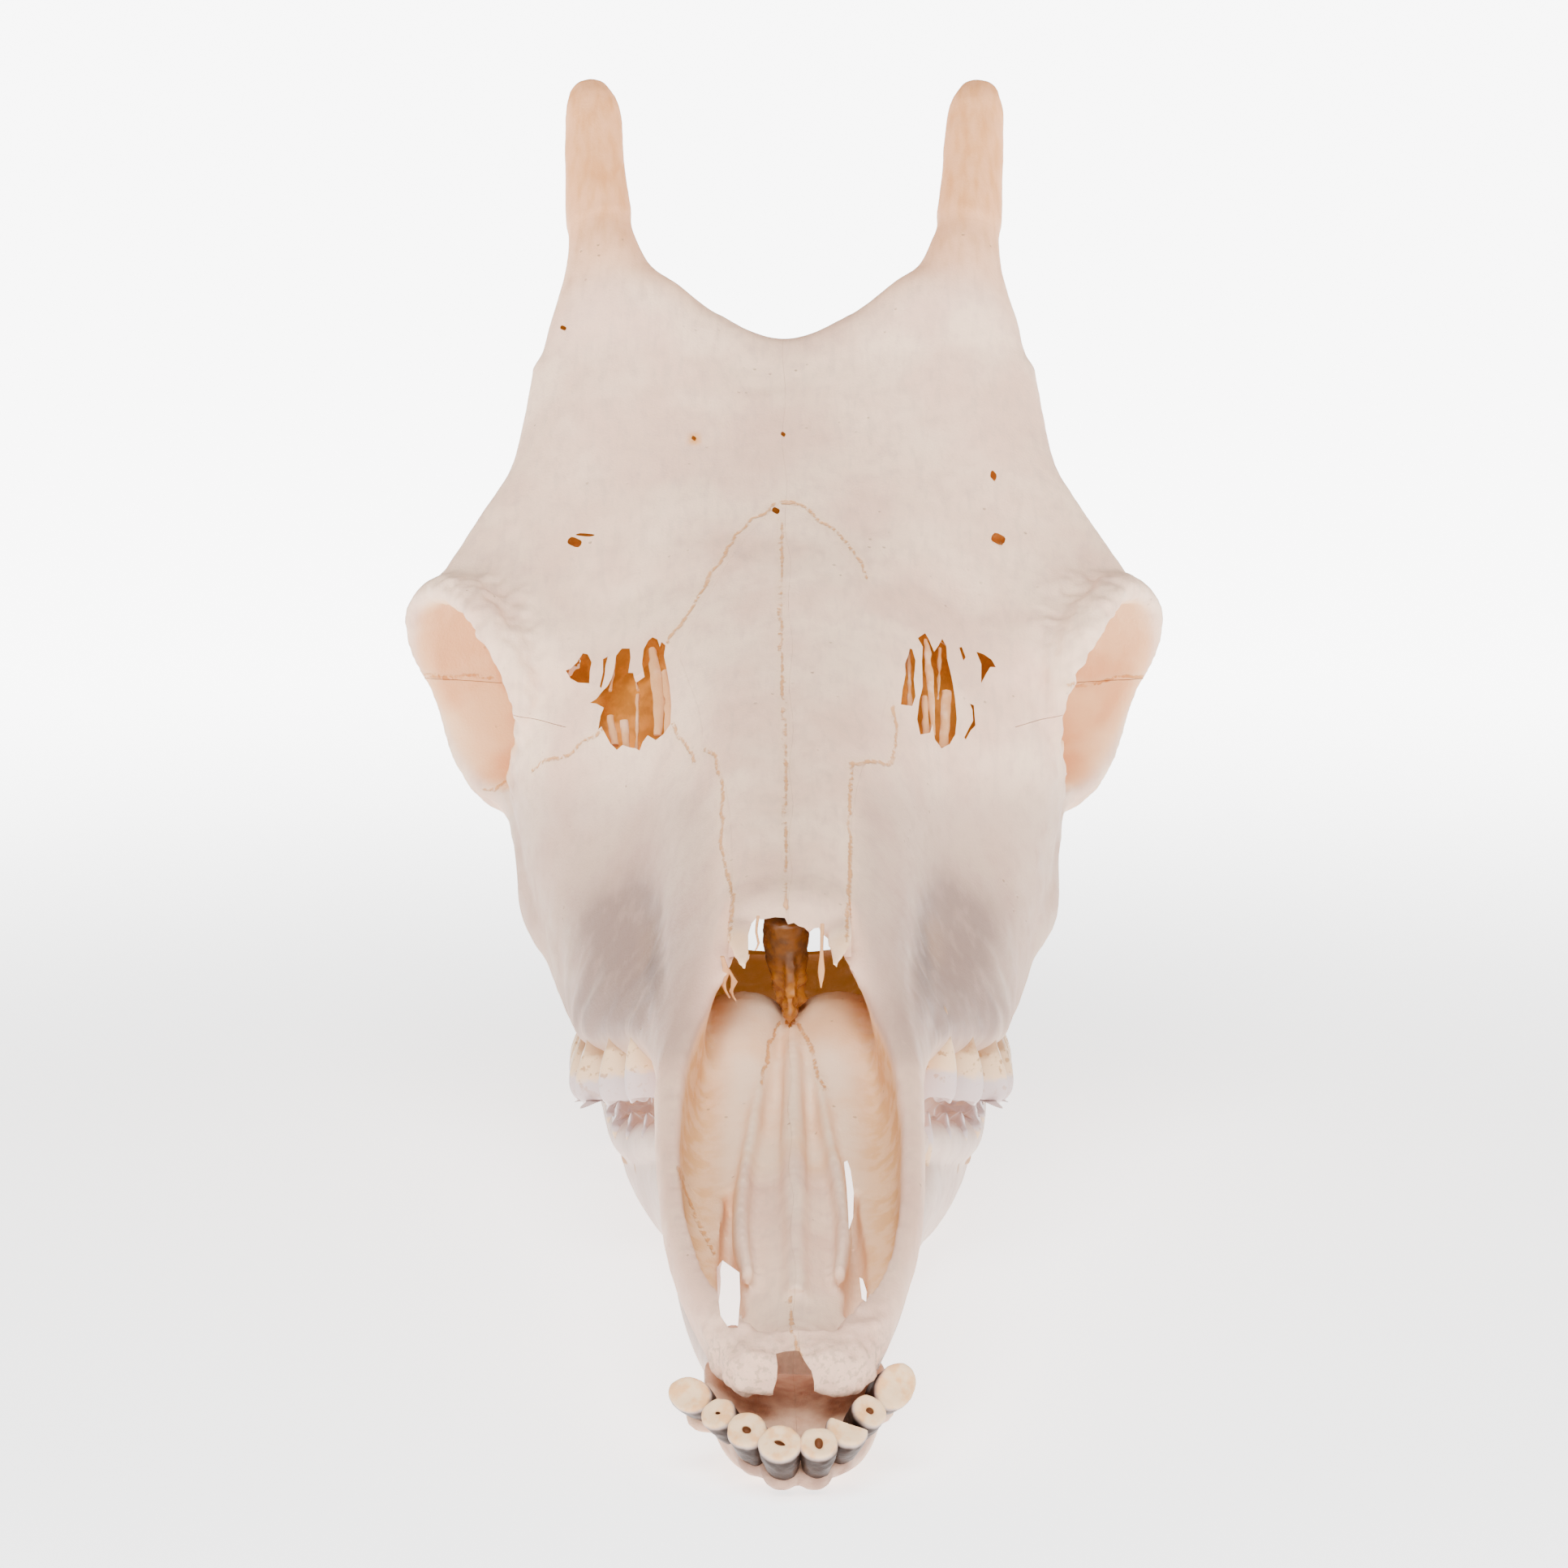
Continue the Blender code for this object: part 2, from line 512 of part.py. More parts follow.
def cheek_tooth(middle, length, width, lines, lobes, side):
    """One cheek tooth: a lobed crown on a root that leans inwards, cut off along the bite line."""
    outline = []
    part = length / lobes
    starts = [-length / 2 + part * k for k in range(lobes)]
    for start in starts:
        outline += [(width * 0.50, start + 0.05 * part), (width * 0.41, start + 0.5 * part)]
    outline.append((width * 0.48, length / 2 - 0.03 * part))
    for start in reversed(starts):
        outline += [(-width * 0.30, start + 0.96 * part), (-width * 0.50, start + 0.5 * part),
                    (-width * 0.30, start + 0.04 * part)]
    root, neck, bite = lines
    rings = []
    for share, swell, inward in ((None, 0.35, 5), (0.0, 0.9, 0), (0.5, 1.0, 0), (1.0, 0.93, 0)):
        ring = []
        for across, along in outline:
            x = middle[0] + side * (across * swell - inward)
            y = middle[1] + along * min(swell + 0.03, 0.985)
            z = root(y)[0] if share is None else neck(y)[0] + (bite(y)[0] - neck(y)[0]) * share
            ring.append((x, y, z))
        rings.append(ring)
    return put(mesh_from_rings(rings, "tooth"), "tooth")


def tooth_row(lengths, widths, first_y, middle_x, lines, side, premolars=3):
    """The cheek teeth of one side in a row, front to back, as separate objects."""
    teeth = []
    y = first_y
    for i, (length, width) in enumerate(zip(lengths, widths)):
        middle_y = y + length / 2
        place = (side * follow(middle_x)(middle_y)[0], middle_y)
        lobes = 1 if i < premolars else 2
        teeth.append(cheek_tooth(place, length, width, [follow(line) for line in lines], lobes, side))
        y += length
    return teeth


def front_teeth(side):
    """Incisors and canine of one side: peg crowns with flat worn ends, fanned round the chin."""
    teeth = []
    for tip, heading, width in FRONT_TEETH[side]:
        heading = Vector(heading).normalized()
        tip = Vector(tip)
        path = [tip - heading * back for back in (24, 12, 5, 0)]
        sizes = [(3.2, 3.0), (3.6, width * 0.40), (FRONT_TOOTH_THICK * 0.47, width * 0.49),
                 (FRONT_TOOTH_THICK / 2, width / 2)]
        up = Vector((0, 0, 1))
        mesh = limb("tooth", path, sizes, flat_to=up, sides=10, step=12)
        teeth.append(put(mesh if side > 0 else mirrored(mesh), "tooth"))
        if side < 0:
            bpy.data.meshes.remove(mesh)
    return teeth


def pick(pieces, seed):
    """The piece whose surface comes nearest to a place."""
    seed = at(seed)
    return min(pieces, key=lambda mesh: min((v.co - seed).length for v in mesh.vertices))


def settle_in_frame(obj):
    """The face runs a little to the skull's left as it grew, and the loose jaw lies a bit further left."""
    drift = follow(DRIFT)
    aside = follow(JAW_DRIFT if obj.name.startswith("mandible") else {0: 0.0, 1: 0.0})
    for v in obj.data.vertices:
        y = v.co.y / MM + MIDDLE_Y
        v.co.x += (drift(y)[0] + aside(y)[0]) * MM
        v.co += REST * MM


def material(name, colour, roughness):
    mat = bpy.data.materials.new(name)
    mat.use_nodes = True
    shader = mat.node_tree.nodes["Principled BSDF"]
    shader.inputs["Base Color"].default_value = colour
    shader.inputs["Roughness"].default_value = roughness
    return mat


def finish(obj, mat):
    settle_in_frame(obj)
    obj.data.materials.clear()
    obj.data.materials.append(mat)
    obj.data.shade_smooth()


def nasal_block(grow):
    """A block round both nasal bones, pointed at the back, its underside inside the face's roof."""
    upper = {y: (width + grow, top) for y, (width, top) in NASAL_SPAN.items()}
    lower = {y: (width + grow, top - NASAL_DEPTH - grow) for y, (width, top) in NASAL_SPAN.items()}
    first, last = min(NASAL_SPAN), max(NASAL_SPAN)
    return put(hull("nasal_block", first - grow, last + grow, {y: p[1] for y, p in upper.items()},
                    [upper, lower], {y: p[1] for y, p in lower.items()}, step=14, span=1), "nasal_block")


def build_cranium():
    skull = joined(cranium_bodies(), "cranium")
    fuse(skull, VOXEL, 0)
    boolean(skull, [put(mesh, "cutter") for mesh in hollows()], "DIFFERENCE")
    keep_largest(skull)
    fuse(skull, VOXEL, 3)
    keep_largest(skull)
    thin(skull, SKULL_TRIANGLES)

    blocks = [nasal_block(0.0), nasal_block(GAP)]
    nasals = put(skull.data.copy(), "nasals")
    boolean(nasals, [blocks[0]], "INTERSECT")
    keep_largest(nasals)
    boolean(skull, [blocks[1]], "DIFFERENCE")

    seams = [sheet("premaxilla_seam", [(60, 10), (88, 50), (150, 98), (196, 134)], -60, 60),
             sheet("face_seam", [(372, 40), (350, 100), (336, 150), (310, 240)], -120, 120),
             sheet("back_seam", [(510, 310), (478, 255), (440, 190), (412, 135), (427, 50)], -140, 140)]
    for side in (1, -1):
        seams.append(put(ball("ossicone_seam", (side * 62, 474, 308), (24, 24, GAP / 2),
                              Vector((0, 62, 78)).normalized()), "ossicone_seam"))
    for seam in seams:
        part_by(skull, seam)
    blocks = islands(skull)
    pieces = [pick(blocks, seed) for seed in ((0, 560, 205), (66, 509, 350), (-66, 509, 350))]
    halves = []
    for seed in ((75, 425, 250), (60, 290, 110), (30, 50, 50)):
        halves.append(put(pick(blocks, seed).copy(), "block"))
    for block in halves + [nasals]:
        part_by(block, prism("midline", [(-60, -10), (560, -10), (560, 320), (-60, 320)],
                             -MIDLINE_GAP / 2, MIDLINE_GAP / 2))
        pieces = islands(block) + pieces
    for block in halves:
        bpy.data.objects.remove(block, do_unlink=True)
    for side in (1, -1):
        eye = put(pick(pieces, (side * 75, 425, 250)).copy(), "eye")
        cheek = [(side * 150, 170), (side * 64, 160), (side * 61, 127.5), (side * -10, 127.5)]
        part_by(eye, sheet("cheek_seam", cheek, 300, 440, plane="xz"))
        part_by(eye, sheet("palate_seam", [(side * 61, 129.5), (side * 60, 40)], 300, 440, plane="xz"))
        pieces = islands(eye) + pieces
        bpy.data.objects.remove(eye, do_unlink=True)
    seeds = {"braincase": (0, 560, 205)}
    for side, where in ((1, "left"), (-1, "right")):
        for bone, (x, y, z) in {"premaxilla": (30, 50, 50), "maxilla": (60, 290, 110),
                                "nasal": (12, 250, 158), "frontal": (75, 425, 240),
                                "jugal": (98, 385, 125), "palatine": (25, 385, 85),
                                "ossicone": (71, 500, 345)}.items():
            seeds[f"{bone}_{where}"] = (side * x, y, z)
    nodes = {}
    for name, seed in seeds.items():
        nodes[name] = put(pick(pieces, seed), name)
    for old in (skull, nasals):
        bpy.data.objects.remove(old, do_unlink=True)
    return nodes


def build_jaw():
    jaw = joined(jaw_bodies(), "jaw")
    fuse(jaw, JAW_VOXEL, 3)
    keep_largest(jaw)
    thin(jaw, JAW_TRIANGLES)
    seam = prism("midline", [(-60, -20), (300, -20), (300, 120), (-60, 120)],
                 -MIDLINE_GAP / 2, MIDLINE_GAP / 2)
    boolean(jaw, [seam], "DIFFERENCE")
    pieces = islands(jaw)
    nodes = {"mandible_left": put(pick(pieces, (50, 340, 40)), "mandible_left"),
             "mandible_right": put(pick(pieces, (-50, 340, 40)), "mandible_right")}
    bpy.data.objects.remove(jaw, do_unlink=True)
    return nodes


def build():
    clear_scene()
    nodes = build_cranium()
    nodes.update(build_jaw())
    for side, where in ((1, "left"), (-1, "right")):
        boolean(nodes[f"maxilla_{where}"],
                tooth_row(UPPER_LENGTHS, UPPER_WIDTHS, UPPER_FIRST_Y, UPPER_MIDDLE_X,
                          (UPPER_ROOT_Z, UPPER_NECK_Z, UPPER_BITE_Z), side), "UNION")
        boolean(nodes[f"mandible_{where}"],
                tooth_row(LOWER_LENGTHS, LOWER_WIDTHS, LOWER_FIRST_Y, LOWER_MIDDLE_X,
                          (LOWER_ROOT_Z, LOWER_NECK_Z, LOWER_BITE_Z), side)
                + front_teeth(side), "UNION")
        for bone in ("maxilla", "mandible"):
            keep_largest(nodes[f"{bone}_{where}"])
    nodes["vomer"] = put(limb("vomer", [(0, 182, 88), (0, 240, 94), (0, 300, 99), (0, 352, 101)],
                              [(10, 1.3), (14, 1.5), (15, 1.6), (13, 1.8)], sides=8, step=30), "vomer")
    for name, obj in nodes.items():
        if name.startswith("ossicone"):
            mat = material(f"{name}_bone", HORN_BONE, 0.7)
        elif name.startswith("mandible"):
            mat = material(f"{name}_bone", JAW_BONE, 0.55)
        else:
            mat = material(f"{name}_bone", BONE, 0.6)
        finish(obj, mat)


build()
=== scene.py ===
"""Giraffe skull with its lower jaw: the dressed model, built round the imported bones.

The bones are modelled in millimetres in the skull's own frame: x to the skull's left (the camera's
right), y back from the tip of the snout, z up from the floor. One solid skull is lofted and fused at
a fine grain, hollowed, worked over as bone is, and parted along its sutures into one piece for each
bone. Places that the photograph shows are named in its pixels and found on the bone by a sight line
from the camera.
"""
import json
import math

import bpy
import numpy as np
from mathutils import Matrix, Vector

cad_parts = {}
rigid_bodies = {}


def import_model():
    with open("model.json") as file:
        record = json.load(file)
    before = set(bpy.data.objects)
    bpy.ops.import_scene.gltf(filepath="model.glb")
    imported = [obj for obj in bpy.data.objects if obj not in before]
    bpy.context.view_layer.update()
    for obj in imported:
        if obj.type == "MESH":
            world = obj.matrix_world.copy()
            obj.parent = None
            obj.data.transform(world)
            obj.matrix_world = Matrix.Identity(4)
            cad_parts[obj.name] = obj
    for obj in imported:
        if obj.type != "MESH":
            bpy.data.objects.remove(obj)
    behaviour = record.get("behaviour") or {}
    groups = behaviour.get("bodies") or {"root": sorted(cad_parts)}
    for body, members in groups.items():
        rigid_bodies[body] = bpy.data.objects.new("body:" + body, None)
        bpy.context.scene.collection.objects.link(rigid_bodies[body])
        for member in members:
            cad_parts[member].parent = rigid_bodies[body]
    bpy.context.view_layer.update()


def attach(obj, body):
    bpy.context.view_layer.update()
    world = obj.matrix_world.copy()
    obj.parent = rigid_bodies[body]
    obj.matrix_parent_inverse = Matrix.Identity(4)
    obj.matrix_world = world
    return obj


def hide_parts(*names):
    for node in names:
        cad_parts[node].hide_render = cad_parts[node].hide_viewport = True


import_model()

MM = 0.001
SIDES = ((1, "left"), (-1, "right"))
MIDDLE_Y = 292.95              # skull y over the origin
RISE = 0.2                     # floor to the skull's z = 0
FLOOR_CLEAR = 0.2              # the jaw's underside stays this far above the floor
JAW_DRIFT = {118: 0.0, 200: 1.5, 300: 1.5}      # the loose jaw lies to the left behind the chin
DRIFT = {-19: 4.4, 30: 3.0, 110: 1.8, 300: 2.2, 340: 1.8, 400: 0.0, 440: 0.0}   # growth to the left

PHOTO = 1932.0                 # the photograph's side in pixels
FOCAL = 7400.0                 # focal length in its pixels
SENSOR = 36.0                  # the camera's sensor in millimetres
CAMERA = (0.0, -1575.4, 444.7)
PITCH = math.radians(9)        # how far the camera looks down
FARTHEST = 200                 # metres that the camera sees
FLOOR_SIDE = 120               # metres
LIGHT_AIM = (0, 0, 0.15)       # metres

SKULL_GRAIN = 1.3              # voxel of the fine bone
JAW_GRAIN = 1.2
SEAM = 0.05                    # hidden cut between two bones
EYE_SEAM = 0.2                 # the same where three bones meet below the eye
NASAL_DEPTH = 20
NASAL_SPAN = {                 # y: half width of the nasal bones and a height above them
    152: (19, 130), 200: (17.5, 146), 245: (19.5, 166), 262: (22, 175), 290: (30, 190), 318: (36, 204),
    341: (25, 217), 366: (12, 231), 378: (2, 238),
}
UPPER_TEETH = {
    "lengths": (20, 22, 21, 27, 30, 30), "widths": (12.5, 17, 19.5, 21, 22, 20), "first": 205,
    "middle": {205: 43.5, 215: 44.5, 236: 51, 258: 58, 285: 60, 320: 60, 355: 59},
    "root": {205: 97, 260: 84, 300: 80, 355: 80}, "neck": {205: 88, 235: 78, 260: 71, 300: 68, 355: 68},
    "bite": {205: 64.5, 235: 57, 260: 52, 290: 49, 355: 47},
}
LOWER_TEETH = {
    "lengths": (17, 20, 21, 26, 28, 32), "widths": (9, 11, 13, 15, 15, 14), "first": 210,
    "middle": {210: 35, 235: 42, 260: 47.5, 285: 51.5, 320: 54, 355: 56},
    "root": {210: 34, 260: 30, 355: 30}, "neck": {210: 44, 260: 39, 300: 36, 355: 35},
    "bite": {205: 63.7, 235: 56.2, 260: 51.2, 290: 48.2, 355: 46.2},
}
FRONT_TEETH = {                # by side: worn end, heading, width, thickness, twist, half sizes of the pit
    1: (((5.2, -11, 18.0), (0.05, -0.71, 0.70), 10.2, 9.8, 0, (1.2, 1.8)),
        ((13.2, -5, 20.3), (0.20, -0.69, 0.69), 11.2, 10.4, -20, None),
        ((19.8, 4, 23.0), (0.36, -0.66, 0.66), 9.6, 9.6, 0, (1.2, 1.2)),
        ((27.4, 15, 26.8), (0.42, -0.76, 0.50), 15.0, 10.6, 42, None)),
    -1: (((5.3, -11, 18.0), (0.05, -0.71, 0.70), 11.6, 10.8, -20, (1.8, 0.8)),
         ((14.2, -5, 20.1), (0.20, -0.69, 0.69), 11.4, 10.4, -30, (1.6, 1.1)),
         ((21.8, 4, 22.3), (0.36, -0.66, 0.66), 9.8, 9.2, 0, (0.9, 0.6)),
         ((29.4, 15, 24.6), (0.34, -0.76, 0.54), 13.2, 9.6, -14, None)),
}
CHIPS = {                      # broken edges, by side and place in the row: facing and distance
    (1, 0): ((0.72, -0.50, 0.40), 4.0), (1, 1): ((0.40, 0.80, 0.35), 1.4),
    (-1, 2): ((0.60, 0.60, 0.50), 3.6),
}
FRONT_HEIGHT = 24              # a front tooth from the end of its root to its worn end
ROOT_SWELL = (12.5, 15, 18, 22)     # the bone swells round a front tooth's root this far behind the worn end
BITE_TO_BONE = 10.5            # from the lower cheek teeth's bite to the middle of the bone along them
FRONT_TOOTH = (                # height over the root's end and share of the full width
    (5, 0.62), (10, 0.74), (14, 0.88), (18, 1.0), (21.5, 1.05), (23.2, 1.03), (23.9, 0.97),
)
CHEEK_TOOTH = (                # height from root (-1) over neck (0) to bite (1), width and length shares
    (-0.4, 0.58, 0.76), (0.0, 0.68, 0.82), (0.14, 0.82, 0.90), (0.36, 0.97, 0.98), (0.56, 1.0, 1.0),
    (0.80, 0.96, 0.97), (0.94, 0.86, 0.92), (1.0, 0.74, 0.86),
)
CHEEK_SIDE = ((0.02, 0.50), (0.14, 0.47), (0.30, 0.40), (0.48, 0.45), (0.66, 0.39), (0.86, 0.44))
TONGUE_SIDE = ((0.97, 0.28), (0.80, 0.45), (0.50, 0.52), (0.20, 0.45), (0.03, 0.28))
TIP_RISE = 3.8                 # how far the bite stands back between the tips
RING_STEP = 5.0                # between the rings of a lofted body
SPAN = 6                       # points between two corners of a section

ORBIT_CENTRE = np.array((103.0, 379.0, 165.0))
ORBIT_FACING = np.array((0.87, -0.40, -0.29)) / np.linalg.norm((0.87, -0.40, -0.29))
ORBIT_RADIUS = 31.5
RIM = 4.6                      # half thickness of the eye socket's rim
ORBIT_TUCK = 9.0               # the rim's outer side leans in below the eye, most at this height
ORBIT_TUCK_Z = 160
SOCKET_BACK = 10               # the socket's middle lies this far behind the rim's
SOCKET_DEPTH = 46
EYE_REACH = 48                 # bone this near the socket's middle and inside this x is smoothed
EYE_SIDE = 98
HORN_ROOT = (56, 462, 284)
HORN_FOOT = 36                 # bone this near the foot of an ossicone is smoothed
NOSE_WALLS = ((21, 20, 45), (34, 185, 400))     # low and high x, y and z of the nose's side walls
ROOT_SPACING = 21              # between the swells over the upper cheek teeth's roots
POCKET_SKIN = 3.4              # bone left over the hollow behind the lacrimal openings
POCKET_DEPTH = 22
LACRIMAL_DEPTH = 9


def follow(stations):
    """A smooth line through {y: value or values}, as a function of y that gives a row of values."""
    ys = np.array(sorted(stations), float)
    values = np.array([np.atleast_1d(stations[y]) for y in sorted(stations)], float)
    slopes = np.gradient(values, ys, axis=0)

    def value(y):
        y = np.clip(np.atleast_1d(np.asarray(y, float)), ys[0], ys[-1])
        i = np.clip(np.searchsorted(ys, y, side="right") - 1, 0, len(ys) - 2)
        step = (ys[i + 1] - ys[i])[:, None]
        t = (y - ys[i])[:, None] / step
        return ((2 * t**3 - 3 * t**2 + 1) * values[i] + (t**3 - 2 * t**2 + t) * slopes[i] * step
                + (3 * t**2 - 2 * t**3) * values[i + 1] + (t**3 - t**2) * slopes[i + 1] * step)

    return value


drift_at = follow(DRIFT)


def placed(points):
    """Skull millimetres to the frame's metres."""
    points = np.atleast_2d(np.asarray(points, float)).copy()
    points[:, 0] += drift_at(points[:, 1])[:, 0]
    points[:, 1] -= MIDDLE_Y
    points[:, 2] += RISE
    return points * MM


def unplaced(points):
    """The frame's metres back to skull millimetres."""
    points = np.atleast_2d(np.asarray(points, float)) / MM
    points[:, 1] += MIDDLE_Y
    points[:, 2] -= RISE
    points[:, 0] -= drift_at(points[:, 1])[:, 0]
    return points


EYE = np.array((CAMERA[0], CAMERA[1] - MIDDLE_Y, CAMERA[2] + RISE)) * MM
AHEAD = np.array((0.0, math.cos(PITCH), -math.sin(PITCH)))
UPWARD = np.array((0.0, math.sin(PITCH), math.cos(PITCH)))


def seen(places):
    """Where places of the frame fall in the photograph, in its pixels."""
    rel = np.atleast_2d(places) - EYE
    depth = rel @ AHEAD
    return np.stack((PHOTO / 2 + FOCAL * rel[:, 0] / depth, PHOTO / 2 - FOCAL * (rel @ UPWARD) / depth), 1)


def sight(pixel):
    """The unit sight line through a pixel of the photograph."""
    line = AHEAD + UPWARD * (PHOTO / 2 - pixel[1]) / FOCAL
    line = line + np.array((pixel[0] - PHOTO / 2, 0, 0)) / FOCAL
    return line / np.linalg.norm(line)


def smooth_step(low, high, value):
    """Rises smoothly from 0 at low to 1 at high, or falls where low is the higher."""
    t = np.clip((value - low) / (high - low), 0, 1)
    return t * t * (3 - 2 * t)


def grain(points, size, seed=0):
    """Smooth value noise from -1 to 1 with blotches of about this size in millimetres."""
    q = np.asarray(points, float) / size + 1000.0
    cell = np.floor(q).astype(np.int64)
    t = q - cell
    t = t * t * (3 - 2 * t)
    total = np.zeros(len(q))
    for corner in range(8):
        step = np.array((corner & 1, corner >> 1 & 1, corner >> 2 & 1))
        key = cell + step
        mixed = (key[:, 0] * 73856093 ^ key[:, 1] * 19349663 ^ key[:, 2] * 83492791 ^ seed * 2654435761)
        mixed = (mixed ^ mixed >> 13) * 1274126177 & 0x7FFFFFFF
        mixed = mixed ^ mixed >> 15
        share = np.prod(np.where(step, t, 1 - t), axis=1)
        total += share * ((mixed % 65536) / 32767.5 - 1)
    return total


def spot(pixels, centre, spread, power=2):
    """A soft spot in the photograph: 1 at its centre and falling off over its spread, in pixels."""
    return np.exp(-np.sum((np.abs(pixels - centre) / spread) ** power, axis=1))


def closed_curve(points, span=SPAN):
    """Points along a smooth closed curve through the given ones."""
    points = np.array(points, float)
    count = len(points)
    out = []
    for i in range(count):
        p0, p1, p2, p3 = (points[(i + k) % count] for k in (-1, 0, 1, 2))
        for j in range(span):
            t = j / span
            out.append(0.5 * (2 * p1 + (p2 - p0) * t + (2 * p0 - 5 * p1 + 4 * p2 - p3) * t**2
                              + (3 * p1 - p0 - 3 * p2 + p3) * t**3))
    return np.array(out)


def hull(first, last, middle_top, side_lines, middle_bottom, step=RING_STEP, span=SPAN):
    """Rings across the skull through a top line, side lines and a bottom line, alike on both sides."""
    top, bottom = follow(middle_top), follow(middle_bottom)
    sides = [follow(line) for line in side_lines]
    rings = []
    for y in np.linspace(first, last, max(2, round((last - first) / step) + 1)):
        left = [side(y)[0] for side in sides]
        section = [(0.0, top(y)[0, 0])] + [tuple(p) for p in left] + [(0.0, bottom(y)[0, 0])]
        section += [(-p[0], p[1]) for p in reversed(left)]
        rings.append(np.array([(p[0], y, p[1]) for p in closed_curve(section, span)]))
    return rings


def limb(path, sizes, flat_to=(0, 0, 1), sides=20, closed=False, step=RING_STEP):
    """Rings along a path: at each path point the half size along flat_to and across it."""
    path = np.array(path, float)
    sizes = np.array(sizes, float)
    count = len(path)
    fine = []
    for i in range(count if closed else count - 1):
        ids = [(i + k) % count if closed else min(max(i + k, 0), count - 1) for k in (-1, 0, 1, 2)]
        p0, p1, p2, p3 = path[ids]
        s1, s2 = sizes[ids[1]], sizes[ids[2]]
        steps = max(1, round(np.linalg.norm(p2 - p1) / step))
        for j in range(steps):
            t = j / steps
            place = 0.5 * (2 * p1 + (p2 - p0) * t + (2 * p0 - 5 * p1 + 4 * p2 - p3) * t**2
                           + (3 * p1 - p0 - 3 * p2 + p3) * t**3)
            fine.append((place, s1 + (s2 - s1) * (3 * t * t - 2 * t**3)))
    if closed:
        fine.append(fine[0])
    else:
        fine.append((path[-1], sizes[-1]))
    rings = []
    for i, (place, size) in enumerate(fine):
        ahead = fine[1][0] if closed and i + 1 == len(fine) else fine[min(i + 1, len(fine) - 1)][0]
        behind = fine[-2][0] if closed and i == 0 else fine[max(i - 1, 0)][0]
        along = (ahead - behind) / np.linalg.norm(ahead - behind)
        up = np.array(flat_to, float)
        up = up - along * up.dot(along)
        up /= np.linalg.norm(up)
        across = np.cross(along, up)
        rings.append(np.array([place + up * size[0] * math.cos(a) + across * size[1] * math.sin(a)
                               for a in np.linspace(0, 2 * math.pi, sides, endpoint=False)]))
    return rings


def ball(centre, radii, axis=(0, 0, 1), rounds=20, sides=32):
    """Rings of an ellipsoid. Radii are (across, across, along the axis)."""
    turn = Vector((0, 0, 1)).rotation_difference(Vector(axis))
    rings = []
    for a in np.linspace(0.02, math.pi - 0.02, rounds):
        ring = [(radii[0] * math.sin(a) * math.cos(b), radii[1] * math.sin(a) * math.sin(b),
                 -radii[2] * math.cos(a)) for b in np.linspace(0, 2 * math.pi, sides, endpoint=False)]
        rings.append(np.array([turn @ Vector(p) for p in ring]) + np.array(centre, float))
    return rings


def mirrored(rings):
    """The same rings on the other side of the skull."""
    return [ring * np.array((-1, 1, 1)) for ring in rings]


def only(*objs):
    """Selects these objects alone."""
    bpy.ops.object.select_all(action="DESELECT")
    for obj in objs:
        obj.select_set(True)
    bpy.context.view_layer.objects.active = objs[0]


def outwards(obj):
    """Turns all faces of a closed mesh to its outside."""
    only(obj)
    bpy.ops.object.mode_set(mode="EDIT")
    bpy.ops.mesh.select_all(action="SELECT")
    bpy.ops.mesh.normals_make_consistent(inside=False)
    bpy.ops.object.mode_set(mode="OBJECT")


def body_of_rings(rings, name, in_frame=False, flat_ends=False):
    """A closed mesh object through rings of equal point count, its ends flat or fanned to a point."""
    size = len(rings[0])
    last = (len(rings) - 1) * size
    faces = []
    for k in range(len(rings) - 1):
        for i in range(size):
            j = (i + 1) % size
            faces.append((k * size + i, k * size + j, (k + 1) * size + j, (k + 1) * size + i))
    if flat_ends:
        corners = np.concatenate(rings)
        faces += [tuple(reversed(range(size))), tuple(range(last, last + size))]
    else:
        corners = np.concatenate(rings + [ring.mean(0)[None] for ring in (rings[0], rings[-1])])
        for i in range(size):
            j = (i + 1) % size
            faces.append((j, i, len(corners) - 2))
            faces.append((last + i, last + j, len(corners) - 1))
    mesh = bpy.data.meshes.new(name)
    mesh.from_pydata((corners if in_frame else placed(corners)).tolist(), [], faces)
    obj = bpy.data.objects.new(name, mesh)
    bpy.context.scene.collection.objects.link(obj)
    outwards(obj)
    return obj


def joined(objs, name):
    """These objects as one."""
    only(*objs)
    if len(objs) > 1:
        bpy.ops.object.join()
    objs[0].name = name
    return objs[0]


def shaped(obj, kind, **settings):
    """A modifier with these settings, applied."""
    only(obj)
    modifier = obj.modifiers.new(kind.lower(), kind)
    for name, value in settings.items():
        setattr(modifier, name, value)
    bpy.ops.object.modifier_apply(modifier=modifier.name)
    return obj


def fused(obj, voxel, rounds):
    """One closed surface round all the overlapping bodies of an object, softened."""
    shaped(obj, "REMESH", mode="VOXEL", voxel_size=voxel * MM)
    if rounds:
        shaped(obj, "SMOOTH", factor=0.5, iterations=rounds)
    return obj


def soften(obj, chosen, rounds):
    """Smooths only the chosen corners, so that the bodies there run into one another."""
    group = obj.vertex_groups.new(name="soft")
    group.add(np.flatnonzero(chosen).tolist(), 1.0, "REPLACE")
    shaped(obj, "SMOOTH", factor=0.5, iterations=rounds, vertex_group="soft")
    obj.vertex_groups.clear()


def cut(obj, *cutters):
    """Takes closed bodies from an object, one after the other."""
    for cutter in cutters:
        shaped(obj, "BOOLEAN", operation="DIFFERENCE", solver="MANIFOLD", object=cutter)
        bpy.data.objects.remove(cutter, do_unlink=True)
    return obj


def loose_parts(obj):
    """The separate closed surfaces of an object, each as its own object."""
    before = set(bpy.data.objects)
    only(obj)
    bpy.ops.mesh.separate(type="LOOSE")
    return [obj] + [other for other in bpy.data.objects if other not in before]


